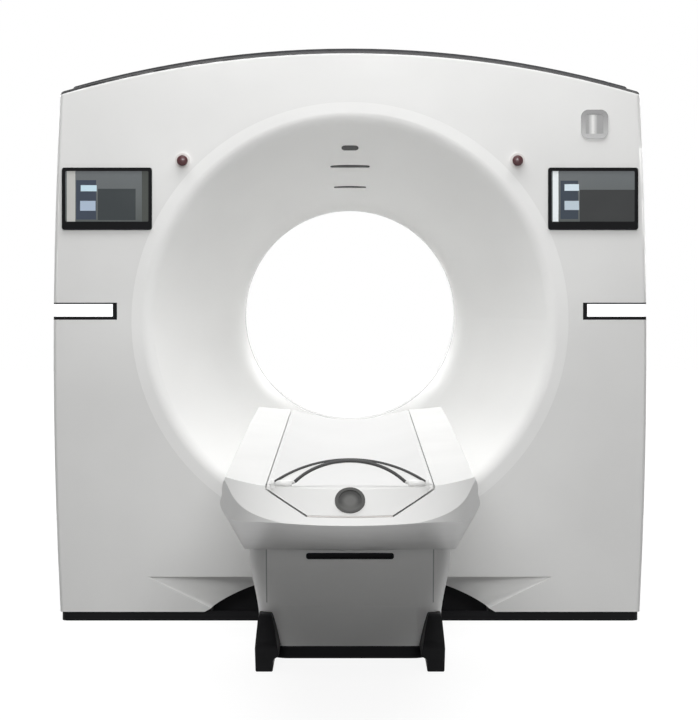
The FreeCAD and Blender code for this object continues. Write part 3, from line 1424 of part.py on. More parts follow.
def build():
    pieces = {
        "gantry_base": gantry_base(), "gantry_feet": gantry_feet(), "plinth": plinth(),
        "front_cover": front_cover(), "front_funnel": front_funnel(), "rear_cover": rear_cover(),
        "rear_flare": rear_flare(), "top_cover": top_cover(),
        "scan_window": scan_window(), "badge": badge(),
        "camera_window": funnel_plug(camera_size, camera_along, 1.5, plug_t),
        "slot_windows": Part.makeCompound([funnel_plug(laser_size, laser_along, 0.6, plug_t),
                                           funnel_plug(speaker_size, speaker_along, 0.6, plug_t)]),
        "stator_frame": stator_frame(), "bearing_outer": bearing_outer(), "bearing_inner": bearing_inner(),
        "rotor_disc": rotor_disc(), "tube_unit": tube_unit(), "collimator": collimator(),
        "detector_arc": detector_arc(), "generator": mirror_x(side_unit(9)), "power_unit": side_unit(5),
        "heat_exchanger": heat_exchanger(), "exchanger_fan": exchanger_fan(), "slip_ring": slip_ring(),
        "brush_block": brush_block(), "drive_motor": drive_motor(), "drive_pulley": drive_pulley(),
        "drive_belt": drive_belt(), "table_base": table_base(), "table_skirt": table_skirt(),
        "pedestal_cover": pedestal_cover(), "slot_trim": slot_trim(), "lift_arm_lower": lift_arm_lower(),
        "lift_arm_upper": lift_arm_upper(), "lift_motor": lift_motor(), "lift_sleeve": lift_sleeve(),
        "table_frame": table_frame(), "table_shell": table_shell(), "cradle_roller": cradle_roller(),
        "cradle_drive": cradle_drive(), "cradle": cradle(), "cradle_end_cap": cradle_end_cap(),
        "end_disc": end_disc(), "release_handle": release_handle(),
    }
    paired = {
        "side_cover": side_cover(), "display_frame": display_frame(), "display_glass": display_glass(),
        "light_bar_frame": light_bar_frame(), "light_bar_lens": light_bar_lens(),
        "stop_collar": stop_collar(), "stop_button": stop_button(), "foot_fairing": foot_fairing(),
    }
    for name, shape in paired.items():
        pieces[name + "_right"] = shape
        pieces[name + "_left"] = mirror_x(shape)
    return pieces


os.makedirs("parts", exist_ok=True)
for name, shape in build().items():
    shape.exportStep("parts/" + name + ".step")
    print(name, len(shape.Solids), round(shape.Volume / 1e6, 3), shape.isValid())
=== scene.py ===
# %% [markdown]
# # A wide-bore scanner with its patient table
# The frame is the measured model: every cover, frame and moving part at its real place, in metres.
# This file gives those parts their finishes, adds the small pieces that a maker fits last, and sets
# up a plain studio so that the scanner can be compared with its photograph.

# %% Load the measured frame
import bpy
import bmesh
import math
from mathutils import Matrix, Vector


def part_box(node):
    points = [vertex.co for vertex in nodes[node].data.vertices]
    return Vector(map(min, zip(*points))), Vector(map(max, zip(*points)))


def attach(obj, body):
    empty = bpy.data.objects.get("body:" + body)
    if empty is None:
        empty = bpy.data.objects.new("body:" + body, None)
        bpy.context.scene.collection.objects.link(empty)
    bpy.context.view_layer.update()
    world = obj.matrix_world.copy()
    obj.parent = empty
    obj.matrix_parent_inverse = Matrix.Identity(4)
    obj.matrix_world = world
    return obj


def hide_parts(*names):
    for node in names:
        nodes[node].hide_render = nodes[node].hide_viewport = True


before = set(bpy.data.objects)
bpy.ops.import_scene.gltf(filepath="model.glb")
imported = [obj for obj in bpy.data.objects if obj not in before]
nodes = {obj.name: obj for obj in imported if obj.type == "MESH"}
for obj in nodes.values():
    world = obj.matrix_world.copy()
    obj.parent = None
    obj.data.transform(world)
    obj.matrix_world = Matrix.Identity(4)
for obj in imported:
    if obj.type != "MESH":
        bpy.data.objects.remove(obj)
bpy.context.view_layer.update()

# %% [markdown]
# ## A small kit for node materials
# A finish is a shader with a few patterns behind it. Each pattern reads Object coordinates, which
# for these parts are the measured coordinates in metres, so a grain of 2 mm is 2 mm everywhere. A
# picture wrapped round each part would need its surface unfolded first, and would blur up close.

# %% Helpers for a material and its coordinates
def new_material(name, base, roughness, metallic=0.0):
    """A material with one Principled shader, returned with its tree and that shader."""
    material = bpy.data.materials.new(name)
    material.use_nodes = True
    tree = material.node_tree
    shader = tree.nodes["Principled BSDF"]
    shader.inputs["Base Color"].default_value = (*base, 1.0)
    shader.inputs["Roughness"].default_value = roughness
    shader.inputs["Metallic"].default_value = metallic
    return material, tree, shader


def object_point(tree, scale=(1.0, 1.0, 1.0), offset=(0.0, 0.0, 0.0)):
    """Object coordinates through a Mapping node that moves and scales them."""
    coordinate = tree.nodes.new("ShaderNodeTexCoord")
    mapping = tree.nodes.new("ShaderNodeMapping")
    mapping.inputs["Location"].default_value = offset
    mapping.inputs["Scale"].default_value = scale
    tree.links.new(coordinate.outputs["Object"], mapping.inputs["Vector"])
    return mapping.outputs["Vector"]


def split_point(tree, offset=(0.0, 0.0, 0.0)):
    """The X, Y and Z sockets of the object point after it is moved by an offset."""
    split = tree.nodes.new("ShaderNodeSeparateXYZ")
    tree.links.new(object_point(tree, offset=offset), split.inputs[0])
    return split.outputs


# %% Helpers for numbers and colours
def noise(tree, vector, scale, detail, roughness=0.5):
    """Soft random clouds, with their scale in clouds a metre."""
    node = tree.nodes.new("ShaderNodeTexNoise")
    node.inputs["Scale"].default_value = scale
    node.inputs["Detail"].default_value = detail
    node.inputs["Roughness"].default_value = roughness
    tree.links.new(vector, node.inputs["Vector"])
    return node.outputs["Fac"]


def math_node(tree, operation, *values):
    """A Math node on numbers or sockets, for a material's tree or a geometry's."""
    node = tree.nodes.new("ShaderNodeMath")
    node.operation = operation
    for socket, value in zip(node.inputs, values):
        if isinstance(value, (int, float)):
            socket.default_value = value
        else:
            tree.links.new(value, socket)
    return node.outputs["Value"]


def remap(tree, value, low, high, to_low, to_high):
    """Turns the range from low to high into another one, and holds its ends."""
    node = tree.nodes.new("ShaderNodeMapRange")
    sockets = ("From Min", "From Max", "To Min", "To Max")
    for socket, number in zip(sockets, (low, high, to_low, to_high)):
        node.inputs[socket].default_value = number
    tree.links.new(value, node.inputs["Value"])
    return node.outputs["Result"]


def mix_colour(tree, factor, first, second):
    """The first colour where the factor is 0 and the second where it is 1."""
    node = tree.nodes.new("ShaderNodeMix")
    node.data_type = "RGBA"
    colour_inputs = [s for s in node.inputs if s.type == "RGBA"]
    for socket, value in zip(colour_inputs, (first, second)):
        if isinstance(value, tuple):
            socket.default_value = (*value, 1.0)
        else:
            tree.links.new(value, socket)
    tree.links.new(factor, node.inputs[0])
    return [s for s in node.outputs if s.type == "RGBA"][0]


# %% Helpers for gloss and relief
def vary_gloss(tree, shader, pattern, low, high, start=0.3):
    """Lets a noise move the roughness between two values."""
    tree.links.new(remap(tree, pattern, start, 0.7, low, high), shader.inputs["Roughness"])


def add_bump(tree, shader, height, strength, depth):
    """Fine relief, with its depth in metres."""
    bump = tree.nodes.new("ShaderNodeBump")
    bump.inputs["Strength"].default_value = strength
    bump.inputs["Distance"].default_value = depth
    tree.links.new(height, bump.inputs["Height"])
    tree.links.new(bump.outputs["Normal"], shader.inputs["Normal"])


# %% Moulded finish and dressing
cloud_scale, smear_scale, peel_strength, coat_roughness = 2.4, 7.0, 0.35, 0.12


def moulded(name, base, roughness, grain_mm=1.6, bump_mm=0.03, tone=0.03, coat=0.0, drift=0.1,
            specular=0.5):
    """Painted or moulded plastic: soft clouds of tone, uneven gloss and a fine orange peel."""
    material, tree, shader = new_material(name, base, roughness)
    point = object_point(tree)
    clouds = noise(tree, point, cloud_scale, 2.0)
    peel = noise(tree, point, 500.0 / grain_mm, 2.0)
    darker = tuple(c * (1 - tone) for c in base)
    lighter = tuple(min(1.0, c * (1 + tone)) for c in base)
    shift = remap(tree, clouds, 0.3, 0.7, 0.0, 1.0)
    tree.links.new(mix_colour(tree, shift, darker, lighter), shader.inputs["Base Color"])
    smears = noise(tree, object_point(tree, (1.0, 1.0, 3.0)), smear_scale, 4.0, 0.6)
    vary_gloss(tree, shader, smears, roughness * (1 - drift), min(1.0, roughness * (1 + drift)))
    add_bump(tree, shader, peel, peel_strength, bump_mm / 1000)
    shader.inputs["Specular IOR Level"].default_value = specular
    if coat:
        shader.inputs["Coat Weight"].default_value = coat
        shader.inputs["Coat Roughness"].default_value = coat_roughness
    return material


def dress(material, *names):
    """Gives CAD nodes one finish."""
    for name in names:
        mesh = nodes[name].data
        mesh.materials.clear()
        mesh.materials.append(material)


def pair(name):
    """Names of a left and a right node."""
    return name + "_left", name + "_right"


# %% [markdown]
# ## Covers
# The big covers are moulded and sprayed in a warm white satin. A satin paint isn't perfectly even:
# its tone drifts a little over a metre and its surface has a fine orange peel, and both are what
# make the soft light roll over the funnel. The lid and the plinth are dark, grained mouldings. One
# recipe with other numbers serves them all, so they look like one maker's work.

# %% Finishes of the covers
cover_white = moulded("cover_white", (0.80, 0.80, 0.79), 0.36)
# The funnel's white is paler than the front cover's: painted light for the brighter light inside
# the funnel.
funnel_white_painted_light = moulded("funnel_white_painted_light", (0.88, 0.88, 0.87), 0.5, specular=0.25)
table_white = moulded("table_white", (0.76, 0.76, 0.75), 0.34, specular=0.3)
# The pedestal's white is paler than the other covers': painted light that lifts it in the shade
# under the table.
pedestal_white_painted_light = moulded("pedestal_white_painted_light", (0.95, 0.95, 0.94), 0.42)
cradle_white = moulded("cradle_white", (0.70, 0.70, 0.695), 0.4, bump_mm=0.002, tone=0.015,
                       drift=0.02)
cap_white = moulded("cap_white", (0.70, 0.70, 0.69), 0.34, bump_mm=0.006)
bail_white = moulded("bail_white", (0.80, 0.80, 0.79), 0.3, bump_mm=0.006)
lid_dark = moulded("lid_dark", (0.018, 0.018, 0.020), 0.5, grain_mm=1.1, bump_mm=0.1, tone=0.12,
                   specular=0.15)
trim_black = moulded("trim_black", (0.006, 0.006, 0.007), 0.55, grain_mm=1.1, bump_mm=0.08,
                     tone=0.2, specular=0.1)
dress(cover_white, "rear_cover", *pair("side_cover"))
dress(funnel_white_painted_light, "front_funnel", "rear_flare")
dress(table_white, "table_shell")
dress(pedestal_white_painted_light, "pedestal_cover")
dress(cradle_white, "cradle")
dress(cap_white, "cradle_end_cap")
dress(lid_dark, "top_cover")
dress(trim_black, "plinth", "table_skirt", "slot_trim", *pair("foot_fairing"))
print("cover finishes ready")

# %% [markdown]
# ## Strip on the crown and seams of the pedestal's panel
# A thin dark strip follows the crown of the front cover, and two fine upright seams frame the
# pedestal's panel. As meshes they would be slivers a few millimetres wide that catch the light in
# the wrong way. They are painted instead: a mask says where they lie, from the cover's own crown
# radius and the sizes of the panel, and a second colour goes over the white there.

# %% Masks of the strip and the seams
def paint_over(material, mask, colour):
    """Lays a second colour over a finish where the mask is 1."""
    tree = material.node_tree
    base = tree.nodes["Principled BSDF"].inputs["Base Color"]
    tree.links.new(mix_colour(tree, mask, base.links[0].from_socket, colour), base)


def distance(tree, first, second):
    """Length of the line whose two square-on reaches are given."""
    square = math_node(tree, "ADD", math_node(tree, "MULTIPLY", first, first),
                       math_node(tree, "MULTIPLY", second, second))
    return math_node(tree, "SQRT", square)


def crown_mask(material, centre_z, inner_radius):
    """1 outside an arc about a lengthwise axis at a height."""
    tree = material.node_tree
    place = split_point(tree, (0.0, 0.0, -centre_z))
    return math_node(tree, "GREATER_THAN", distance(tree, place["X"], place["Z"]), inner_radius)


def seam_mask(material, half, width, low, high):
    """Marks an upright line on either side of the middle, between two heights."""
    tree = material.node_tree
    place = split_point(tree)
    from_line = math_node(tree, "SUBTRACT", math_node(tree, "ABSOLUTE", place["X"]), half)
    on_line = remap(tree, math_node(tree, "ABSOLUTE", from_line), width * 0.3, width, 0.6, 0.0)
    above = math_node(tree, "GREATER_THAN", place["Z"], low)
    below = math_node(tree, "LESS_THAN", place["Z"], high)
    return math_node(tree, "MULTIPLY", on_line, math_node(tree, "MULTIPLY", above, below))


crown_top, crown_radius, strip_width = 2.05, 3.73, 0.0105
panel_half, seam_width, panel_low, panel_high = 0.272, 0.003, 0.186, 0.384
front_white = moulded("front_white", (0.80, 0.80, 0.79), 0.36, specular=0.3)
strip_mask = crown_mask(front_white, crown_top - crown_radius, crown_radius - strip_width)
paint_over(front_white, strip_mask, (0.012, 0.012, 0.013))
dress(front_white, "front_cover")
panel_mask = seam_mask(pedestal_white_painted_light, panel_half, seam_width, panel_low, panel_high)
paint_over(pedestal_white_painted_light, panel_mask, (0.08, 0.08, 0.08))
print("crown strip", round(strip_width * 1000, 1), "mm, seams", seam_width * 1000, "mm wide")

# %% [markdown]
# ## Fittings
# The bezels are smooth black plastic, the light bars have a milky lens, and the stop buttons are
# dark red in pale collars. The lens gets a weak glow on its own socket, because a lamp behind it
# would light the cover as well, and the real bar is only bright to look at.

# %% Finishes of the fittings
bezel_black = moulded("bezel_black", (0.005, 0.005, 0.006), 0.2, grain_mm=3.0, bump_mm=0.004,
                      tone=0.2, specular=0.1)
lens_white = moulded("lens_white", (0.92, 0.92, 0.92), 0.22, bump_mm=0.006, tone=0.01)
lens_shader = lens_white.node_tree.nodes["Principled BSDF"]
lens_shader.inputs["Emission Color"].default_value = (1.0, 1.0, 1.0, 1.0)
lens_shader.inputs["Emission Strength"].default_value = 0.55
window_film = moulded("window_film", (0.80, 0.81, 0.81), 0.2, bump_mm=0.004, tone=0.01)
dark_window = moulded("dark_window", (0.02, 0.02, 0.022), 0.12, bump_mm=0.002, tone=0.1, coat=0.6)
collar_pale = moulded("collar_pale", (0.70, 0.67, 0.65), 0.32)
stop_red = moulded("stop_red", (0.05, 0.003, 0.006), 0.3, bump_mm=0.006, tone=0.06, coat=0.1)
dress(bezel_black, *pair("display_frame"), *pair("light_bar_frame"))
dress(lens_white, *pair("light_bar_lens"))
dress(window_film, "scan_window")
dress(dark_window, "camera_window", "slot_windows")
dress(collar_pale, *pair("stop_collar"))
dress(stop_red, *pair("stop_button"))
print("fitting finishes ready")

# %% [markdown]
# ## Small plate at the upper right
# It is a plain grey plate with a rim and a dished middle. The middle shows one upright sheen, a
# painted highlight, and the rim is darker towards the top as painted shade. The sheen could come
# from a bent mesh, but at this size a painted one reads the same and stays calm in every light. Its
# patterns are measured as shares of the plate, from -1 to 1.

# %% Plate with a rim
def badge_material(low, high):
    """Grey rim with painted shade towards the top; middle with a painted upright highlight."""
    rim_inside, sheen_place, sheen_reach = 0.66, -0.12, 0.34
    material, tree, shader = new_material("badge_plate", (0.3, 0.3, 0.3), 0.3, 0.2)
    place = split_point(tree)
    across = remap(tree, place["X"], low.x, high.x, -1.0, 1.0)
    up = remap(tree, place["Z"], low.z, high.z, -1.0, 1.0)
    outer = math_node(tree, "MAXIMUM", math_node(tree, "ABSOLUTE", across),
                      math_node(tree, "ABSOLUTE", up))
    inside = math_node(tree, "LESS_THAN", outer, rim_inside)
    # Painted highlight: an upright sheen across the middle of the plate.
    from_sheen = math_node(tree, "ABSOLUTE", math_node(tree, "ADD", across, -sheen_place))
    sheen = remap(tree, from_sheen, 0.0, sheen_reach, 1.0, 0.0)
    middle = mix_colour(tree, sheen, (0.26, 0.26, 0.26), (0.62, 0.62, 0.61))
    # Painted shade: the rim is paler at the bottom and darker towards the top.
    rim_shade = remap(tree, up, -1.0, 1.0, 0.0, 1.0)
    rim = mix_colour(tree, rim_shade, (0.40, 0.40, 0.40), (0.20, 0.20, 0.20))
    tree.links.new(mix_colour(tree, inside, rim, middle), shader.inputs["Base Color"])
    grain = noise(tree, object_point(tree), 300.0, 2.0)
    vary_gloss(tree, shader, grain, 0.27, 0.36)
    add_bump(tree, shader, grain, 0.2, 0.00002)
    return material


badge_low, badge_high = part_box("badge")
dress(badge_material(badge_low, badge_high), "badge")
print("plate", round((badge_high.x - badge_low.x) * 1000), "mm wide")

# %% [markdown]
# ## Round plate at the foot end
# A turned metal disc sits on the sloping face of the end cap: dark all round, brushed in the
# middle, with a slightly paler rim. The middle and the lower part are paler as painted highlights.
# Grooves in the mesh would be lost at this size, so the rings are drawn by distance from its
# centre, with the height stretched back by the sine of the slope.

# %% Plate with rings
face_slope = math.radians(49.5)


def ringed_plate(name, centre, slope):
    """Dark turned plate, paler rim; painted highlights on its brushed middle and lower part."""
    rim_radius, highlight_from, highlight_to = 0.0285, 0.012, 0.022
    lower_highlight_from, lower_highlight_to, lower_highlight_share = -0.004, -0.016, 0.75
    material, tree, shader = new_material(name, (0.10, 0.10, 0.10), 0.35, 0.4)
    place = split_point(tree, tuple(-c for c in centre))
    along = math_node(tree, "DIVIDE", place["Z"], math.sin(slope))
    radius = distance(tree, place["X"], along)
    rim = math_node(tree, "GREATER_THAN", radius, rim_radius)
    # Painted highlight: the plate is paler near its centre.
    middle = remap(tree, radius, highlight_from, highlight_to, 1.0, 0.0)
    colour = mix_colour(tree, middle, (0.03, 0.03, 0.029), (0.09, 0.09, 0.087))
    # Painted highlight: the plate grows paler towards its lower edge.
    lower = remap(tree, place["Z"], lower_highlight_from, lower_highlight_to, 0.0, lower_highlight_share)
    colour = mix_colour(tree, lower, colour, (0.09, 0.09, 0.087))
    colour = mix_colour(tree, rim, colour, (0.05, 0.05, 0.048))
    tree.links.new(colour, shader.inputs["Base Color"])
    brushed = noise(tree, object_point(tree, (1.0, 30.0, 30.0)), 40.0, 3.0, 0.6)
    vary_gloss(tree, shader, brushed, 0.3, 0.46)
    add_bump(tree, shader, brushed, 0.2, 0.00004)
    return material


disc_low, disc_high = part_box("end_disc")
disc_centre = tuple((a + b) / 2 for a, b in zip(disc_low, disc_high))
dress(ringed_plate("disc_plate", disc_centre, face_slope), "end_disc")
print("round plate", round((disc_high.x - disc_low.x) * 1000), "mm across")

# %% [markdown]
# ## Inside
# Behind the covers are welded frames in grey paint, zinc-plated feet, ground bearing rings, a
# brass slip ring and castings. A metal is told apart by its tool marks, so each has a noise that
# is stretched along one direction and moves both its gloss and a very shallow bump.

# %% Finishes of the inside
mark_scale, dull_scale, mark_depth = 30.0, 6.0, 0.00005


def metal(name, base, roughness, grain=(1.0, 1.0, 60.0), tone=0.08):
    """Metal with fine parallel tool marks along one direction."""
    material, tree, shader = new_material(name, base, roughness, 1.0)
    marks = noise(tree, object_point(tree, grain), mark_scale, 4.0, 0.65)
    dull = noise(tree, object_point(tree), dull_scale, 3.0)
    darker = tuple(c * (1 - tone) for c in base)
    tree.links.new(mix_colour(tree, dull, base, darker), shader.inputs["Base Color"])
    vary_gloss(tree, shader, marks, roughness * 0.8, min(1.0, roughness * 1.3))
    add_bump(tree, shader, marks, 0.2, mark_depth)
    return material


frame_grey = moulded("frame_grey", (0.22, 0.24, 0.26), 0.5, tone=0.08)
motor_grey = moulded("motor_grey", (0.08, 0.085, 0.09), 0.45, tone=0.1)
zinc = metal("zinc", (0.58, 0.58, 0.56), 0.4)
ground_steel = metal("ground_steel", (0.62, 0.62, 0.63), 0.25)
alloy = metal("alloy", (0.68, 0.69, 0.70), 0.34)
cast_alloy = metal("cast_alloy", (0.50, 0.51, 0.52), 0.55)
track_brass = metal("track_brass", (0.72, 0.50, 0.20), 0.3)
belt_rubber = moulded("belt_rubber", (0.02, 0.02, 0.02), 0.75, bump_mm=0.1, tone=0.2)
fan_black = moulded("fan_black", (0.03, 0.03, 0.03), 0.5, tone=0.15)
sleeve_grey = moulded("sleeve_grey", (0.10, 0.10, 0.105), 0.5, tone=0.1)
dress(frame_grey, "gantry_base", "stator_frame", "table_base", "table_frame")
dress(motor_grey, "drive_motor", "lift_motor", "cradle_drive")
dress(zinc, "gantry_feet", "lift_arm_lower", "lift_arm_upper")
dress(ground_steel, "bearing_outer", "bearing_inner", "cradle_roller", "drive_pulley")
dress(alloy, "rotor_disc", "collimator", "detector_arc")
dress(cast_alloy, "tube_unit", "generator", "power_unit", "heat_exchanger")
dress(track_brass, "slip_ring")
dress(belt_rubber, "drive_belt")
dress(fan_black, "exchanger_fan", "brush_block")
dress(sleeve_grey, "lift_sleeve")
print("finishes so far:", len(bpy.data.materials))

# %% [markdown]
# ## The two displays
# Behind each pane is a dark screen with a plain layout: a brighter band along the top, an upright
# bar at the left, two pale blocks beside it and a darker field. The field ends short of the edge on
# the left display and runs to the edge on the right one, where the bar is also thinner and
# brighter. All is painted with steps on the pane's own coordinates, so it stays sharp.

# %% The screens
# A block is its left, right, bottom and top as shares of the pane, and then its colour.
screen_layouts = {
    "display_glass_left": ((0.39, 0.845, 0.03, 0.65, (0.026, 0.033, 0.036)),
                           (0.92, 1.0, 0.0, 1.0, (0.050, 0.056, 0.050)),
                           (0.13, 0.37, 0.04, 0.82, (0.030, 0.042, 0.066)),
                           (0.185, 0.377, 0.60, 0.72, (0.50, 0.66, 0.74)),
                           (0.178, 0.363, 0.215, 0.41, (0.36, 0.44, 0.55)),
                           (0.018, 0.12, 0.0, 1.0, (0.46, 0.46, 0.44))),
    "display_glass_right": ((0.34, 1.0, 0.0, 0.63, (0.026, 0.028, 0.029)),
                            (0.108, 0.32, 0.05, 0.81, (0.028, 0.040, 0.058)),
                            (0.157, 0.331, 0.61, 0.74, (0.58, 0.68, 0.74)),
                            (0.157, 0.331, 0.23, 0.41, (0.44, 0.52, 0.58)),
                            (0.014, 0.084, 0.0, 1.0, (0.74, 0.78, 0.79)))}


def screen_material(name, low, high, layout):
    """Screen with blocks of colour that glow a little by themselves."""
    material, tree, shader = new_material(name, (0.05, 0.06, 0.07), 0.12)
    place = split_point(tree)
    across = remap(tree, place["X"], low.x, high.x, 0.0, 1.0)
    up = remap(tree, place["Z"], low.z, high.z, 0.0, 1.0)

    def between(value, start, end):
        return math_node(tree, "MULTIPLY", math_node(tree, "GREATER_THAN", value, start),
                         math_node(tree, "LESS_THAN", value, end))

    colour = mix_colour(tree, up, (0.075, 0.085, 0.083), (0.120, 0.132, 0.138))
    for left, right, bottom, top, paint in layout:
        block = math_node(tree, "MULTIPLY", between(across, left, right), between(up, bottom, top))
        colour = mix_colour(tree, block, colour, paint)
    tree.links.new(colour, shader.inputs["Base Color"])
    tree.links.new(colour, shader.inputs["Emission Color"])
    shader.inputs["Emission Strength"].default_value = 0.25
    shader.inputs["Specular IOR Level"].default_value = 0.3
    shader.inputs["Coat Weight"].default_value = 0.2
    shader.inputs["Coat Roughness"].default_value = 0.05
    smudge = noise(tree, object_point(tree), 9.0, 4.0, 0.6)
    vary_gloss(tree, shader, smudge, 0.08, 0.2, 0.35)
    print(name, round((high.x - low.x) * 1000), "x", round((high.z - low.z) * 1000), "mm")
    return material


for name, layout in screen_layouts.items():
    dress(screen_material(name + "_screen", *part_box(name), layout), name)

# %% [markdown]
# ## The release bail
# The bail over the foot end of the cradle is a crescent: broad at its two feet and thin over the
# top. It leans with the sloping face, so it is drawn flat and then laid on that slope. Two arcs
# give its outer and inner edge, and rounded rings between them are joined to one closed skin. A
# bent tube would be simpler, but it can't grow from thin to broad in this way.

# %% Sizes of the bail and its arcs
bail_axis_y, bail_axis_z = -2.944, 0.7715
bail_half, bail_rise, bail_foot, bail_crown = 0.186, 0.066, 0.050, 0.0035
bail_thick, bail_steps, ring_points, ring_roundness = 0.013, 64, 24, 0.7
bail_place = Matrix.Translation((0.0, bail_axis_y, bail_axis_z))
bail_frame = bail_place @ Matrix.Rotation(face_slope, 4, "X")


def arc_point(half, rise, share):
    """Point of a flat arc from its left foot (0) over the top to its right foot (1)."""
    radius = (half ** 2 + rise ** 2) / (2 * rise)
    turn = math.asin(half / radius) * (2 * share - 1)
    return Vector((radius * math.sin(turn), rise - radius * (1 - math.cos(turn)), 0.0))


print("bail: arcs", 2 * bail_half, "and", 2 * (bail_half - bail_foot), "m wide")

# %% Helpers for meshes
def placed(name, mesh, material):
    """An object for a mesh at the origin, in one finish."""
    mesh.materials.clear()
    mesh.materials.append(material)
    piece = bpy.data.objects.new(name, mesh)
    bpy.context.scene.collection.objects.link(piece)
    return piece


def smooth(mesh):
    """Rounds the shading of every face."""
    for polygon in mesh.polygons:
        polygon.use_smooth = True


def mesh_piece(name, points, faces, material):
    """A smooth piece from points and faces, with every face turned outwards."""
    mesh = bpy.data.meshes.new(name)
    mesh.from_pydata([tuple(p) for p in points], [], faces)
    work = bmesh.new()
    work.from_mesh(mesh)
    bmesh.ops.recalc_face_normals(work, faces=work.faces)
    work.to_mesh(mesh)
    work.free()
    smooth(mesh)
    return placed(name, mesh, material)


def loft_rings(rings):
    """Points and faces of a closed skin through rings of equal length, with flat ends."""
    count = len(rings[0])
    points = [p for r in rings for p in r]
    faces = []
    for i in range(len(rings) - 1):
        for j in range(count):
            k = (j + 1) % count
            faces.append((i * count + j, i * count + k, (i + 1) * count + k, (i + 1) * count + j))
    faces.append(tuple(range(count))[::-1])
    faces.append(tuple(range((len(rings) - 1) * count, len(rings) * count)))
    return points, faces


# %% Crescent of the bail
def squared(value):
    """Fills a ring's corners out, so that its section is between an oval and a box."""
    return math.copysign(abs(value) ** ring_roundness, value)


bail_rings = []
for i in range(bail_steps + 1):
    share = i / bail_steps
    outer = arc_point(bail_half, bail_rise, share)
    inner = arc_point(bail_half - bail_foot, bail_rise - bail_crown, share)
    middle, reach = (outer + inner) / 2, (outer - inner) / 2
    ring = []
    for j in range(ring_points):
        turn = math.tau * j / ring_points
        rise = Vector((0, 0, bail_thick / 2 * squared(math.sin(turn))))
        ring.append(bail_frame @ (middle + reach * squared(math.cos(turn)) + rise))
    bail_rings.append(ring)
bail_body = mesh_piece("bail_crescent", *loft_rings(bail_rings), bail_white)
print("bail:", len(bail_body.data.polygons), "faces")

# %% [markdown]
# ## Shade strips and knuckles of the bail
# Dark strips run along both curves of the bail as painted shade: they stand in for the shadow in
# the gaps there. Two short turned knuckles hold its feet. Each strip is a curve with a round bevel,
# which keeps its thickness along the whole bend, turned to a mesh at the end because the export
# takes meshes. The strips sit on the top face, where they show from the front.

# %% Dark strips along the bail, as painted shade
def tube_piece(name, points, radius, material):
    """Round strip along a smooth line, turned to a mesh."""
    curve = bpy.data.curves.new(name + "_line", "CURVE")
    curve.dimensions = "3D"
    spline = curve.splines.new("NURBS")
    spline.points.add(len(points) - 1)
    for knot, p in zip(spline.points, points):
        knot.co = (*p, 1.0)
    spline.order_u = 4
    spline.use_endpoint_u = True
    curve.bevel_depth = radius
    curve.bevel_resolution = 4
    curve.use_fill_caps = True
    line = bpy.data.objects.new(name + "_line", curve)
    mesh = bpy.data.meshes.new_from_object(line)
    bpy.data.objects.remove(line)
    smooth(mesh)
    return placed(name, mesh, material)


# Painted shade: dark strips stand in for the shadow in the gaps along the bail's two edges.
bail_gap_shade = moulded("bail_gap_shade", (0.02, 0.02, 0.02), 0.55, bump_mm=0.02, tone=0.1)
gap_shade_steps, gap_shade_sink = 32, 0.001
outer_radius, inner_radius = 0.0036, 0.0042
lift = Vector((0, 0, bail_thick / 2 - gap_shade_sink))


def gap_shade_line(half, rise):
    """Points along one curve of the bail, sunk a little below its top face."""
    shares = [i / gap_shade_steps for i in range(gap_shade_steps + 1)]
    return [bail_frame @ (arc_point(half, rise, share) + lift) for share in shares]


outer_gap_shade = tube_piece("bail_gap_shade_outer", gap_shade_line(bail_half, bail_rise), outer_radius,
                          bail_gap_shade)
inner_gap_shade = tube_piece("bail_gap_shade_inner",
                          gap_shade_line(bail_half - bail_foot, bail_rise - bail_crown),
                          inner_radius, bail_gap_shade)
print("bail edging:", len(outer_gap_shade.data.polygons) + len(inner_gap_shade.data.polygons), "faces")

# %% Knuckles, and what each piece rides on
def turned(name, profile, place, direction, material, steps=32):
    """Turned piece: (radius, height) pairs spun about a direction."""
    spin = Vector((0, 0, 1)).rotation_difference(Vector(direction)).to_matrix().to_4x4()
    stand = Matrix.Translation(place) @ spin
    turns = [math.tau * j / steps for j in range(steps)]
    rings = [[stand @ Vector((r * math.cos(t), r * math.sin(t), h)) for t in turns]
             for r, h in profile]
    return mesh_piece(name, *loft_rings(rings), material)


sides = ((-1, "left"), (1, "right"))
knuckle_from = 0.144
knuckle_profile = [(0.0055, 0.0), (0.0078, 0.0015), (0.0078, 0.040), (0.0055, 0.0418)]
for side, word in sides:
    knuckle = turned("bail_knuckle_" + word, knuckle_profile,
                     (side * knuckle_from, bail_axis_y, bail_axis_z), (side, 0, 0), bail_white)
    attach(knuckle, "bail")
    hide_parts("release_handle")
for piece in (bail_body, outer_gap_shade, inner_gap_shade):
    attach(piece, "bail")
    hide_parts("release_handle")
print("knuckles:", len(sides), "from", knuckle_from, "m off the middle")

# %% [markdown]
# ## Pale strip under the end cap
# A thin pale strip follows the underside of the cap's nose. Its line isn't typed: rays from the
# foot end find the cap's own face just above it, so the strip stays on that face however the face
# curves. The strip itself is the same round tube as the edging.

# %% Strip along the cap
strip_half, strip_steps, strip_radius, strip_z = 0.104, 24, 0.0016, 0.7008
ray_z, ray_narrowing, strip_inset = 0.7055, 0.97, 0.0005
cap_mesh = nodes["cradle_end_cap"]
strip_line = []
for i in range(strip_steps + 1):
    x = strip_half * (2 * i / strip_steps - 1)
    _, face_point, _, _ = cap_mesh.ray_cast((x * ray_narrowing, -4.0, ray_z), (0.0, 1.0, 0.0))
    strip_line.append(Vector((x, face_point.y + strip_inset, strip_z)))
cap_strip = tube_piece("cap_strip", strip_line, strip_radius, collar_pale)
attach(cap_strip, "cradle")
strip_reach = [round(p.y, 4) for p in strip_line]
print("cap strip lies at y", min(strip_reach), "to", max(strip_reach))

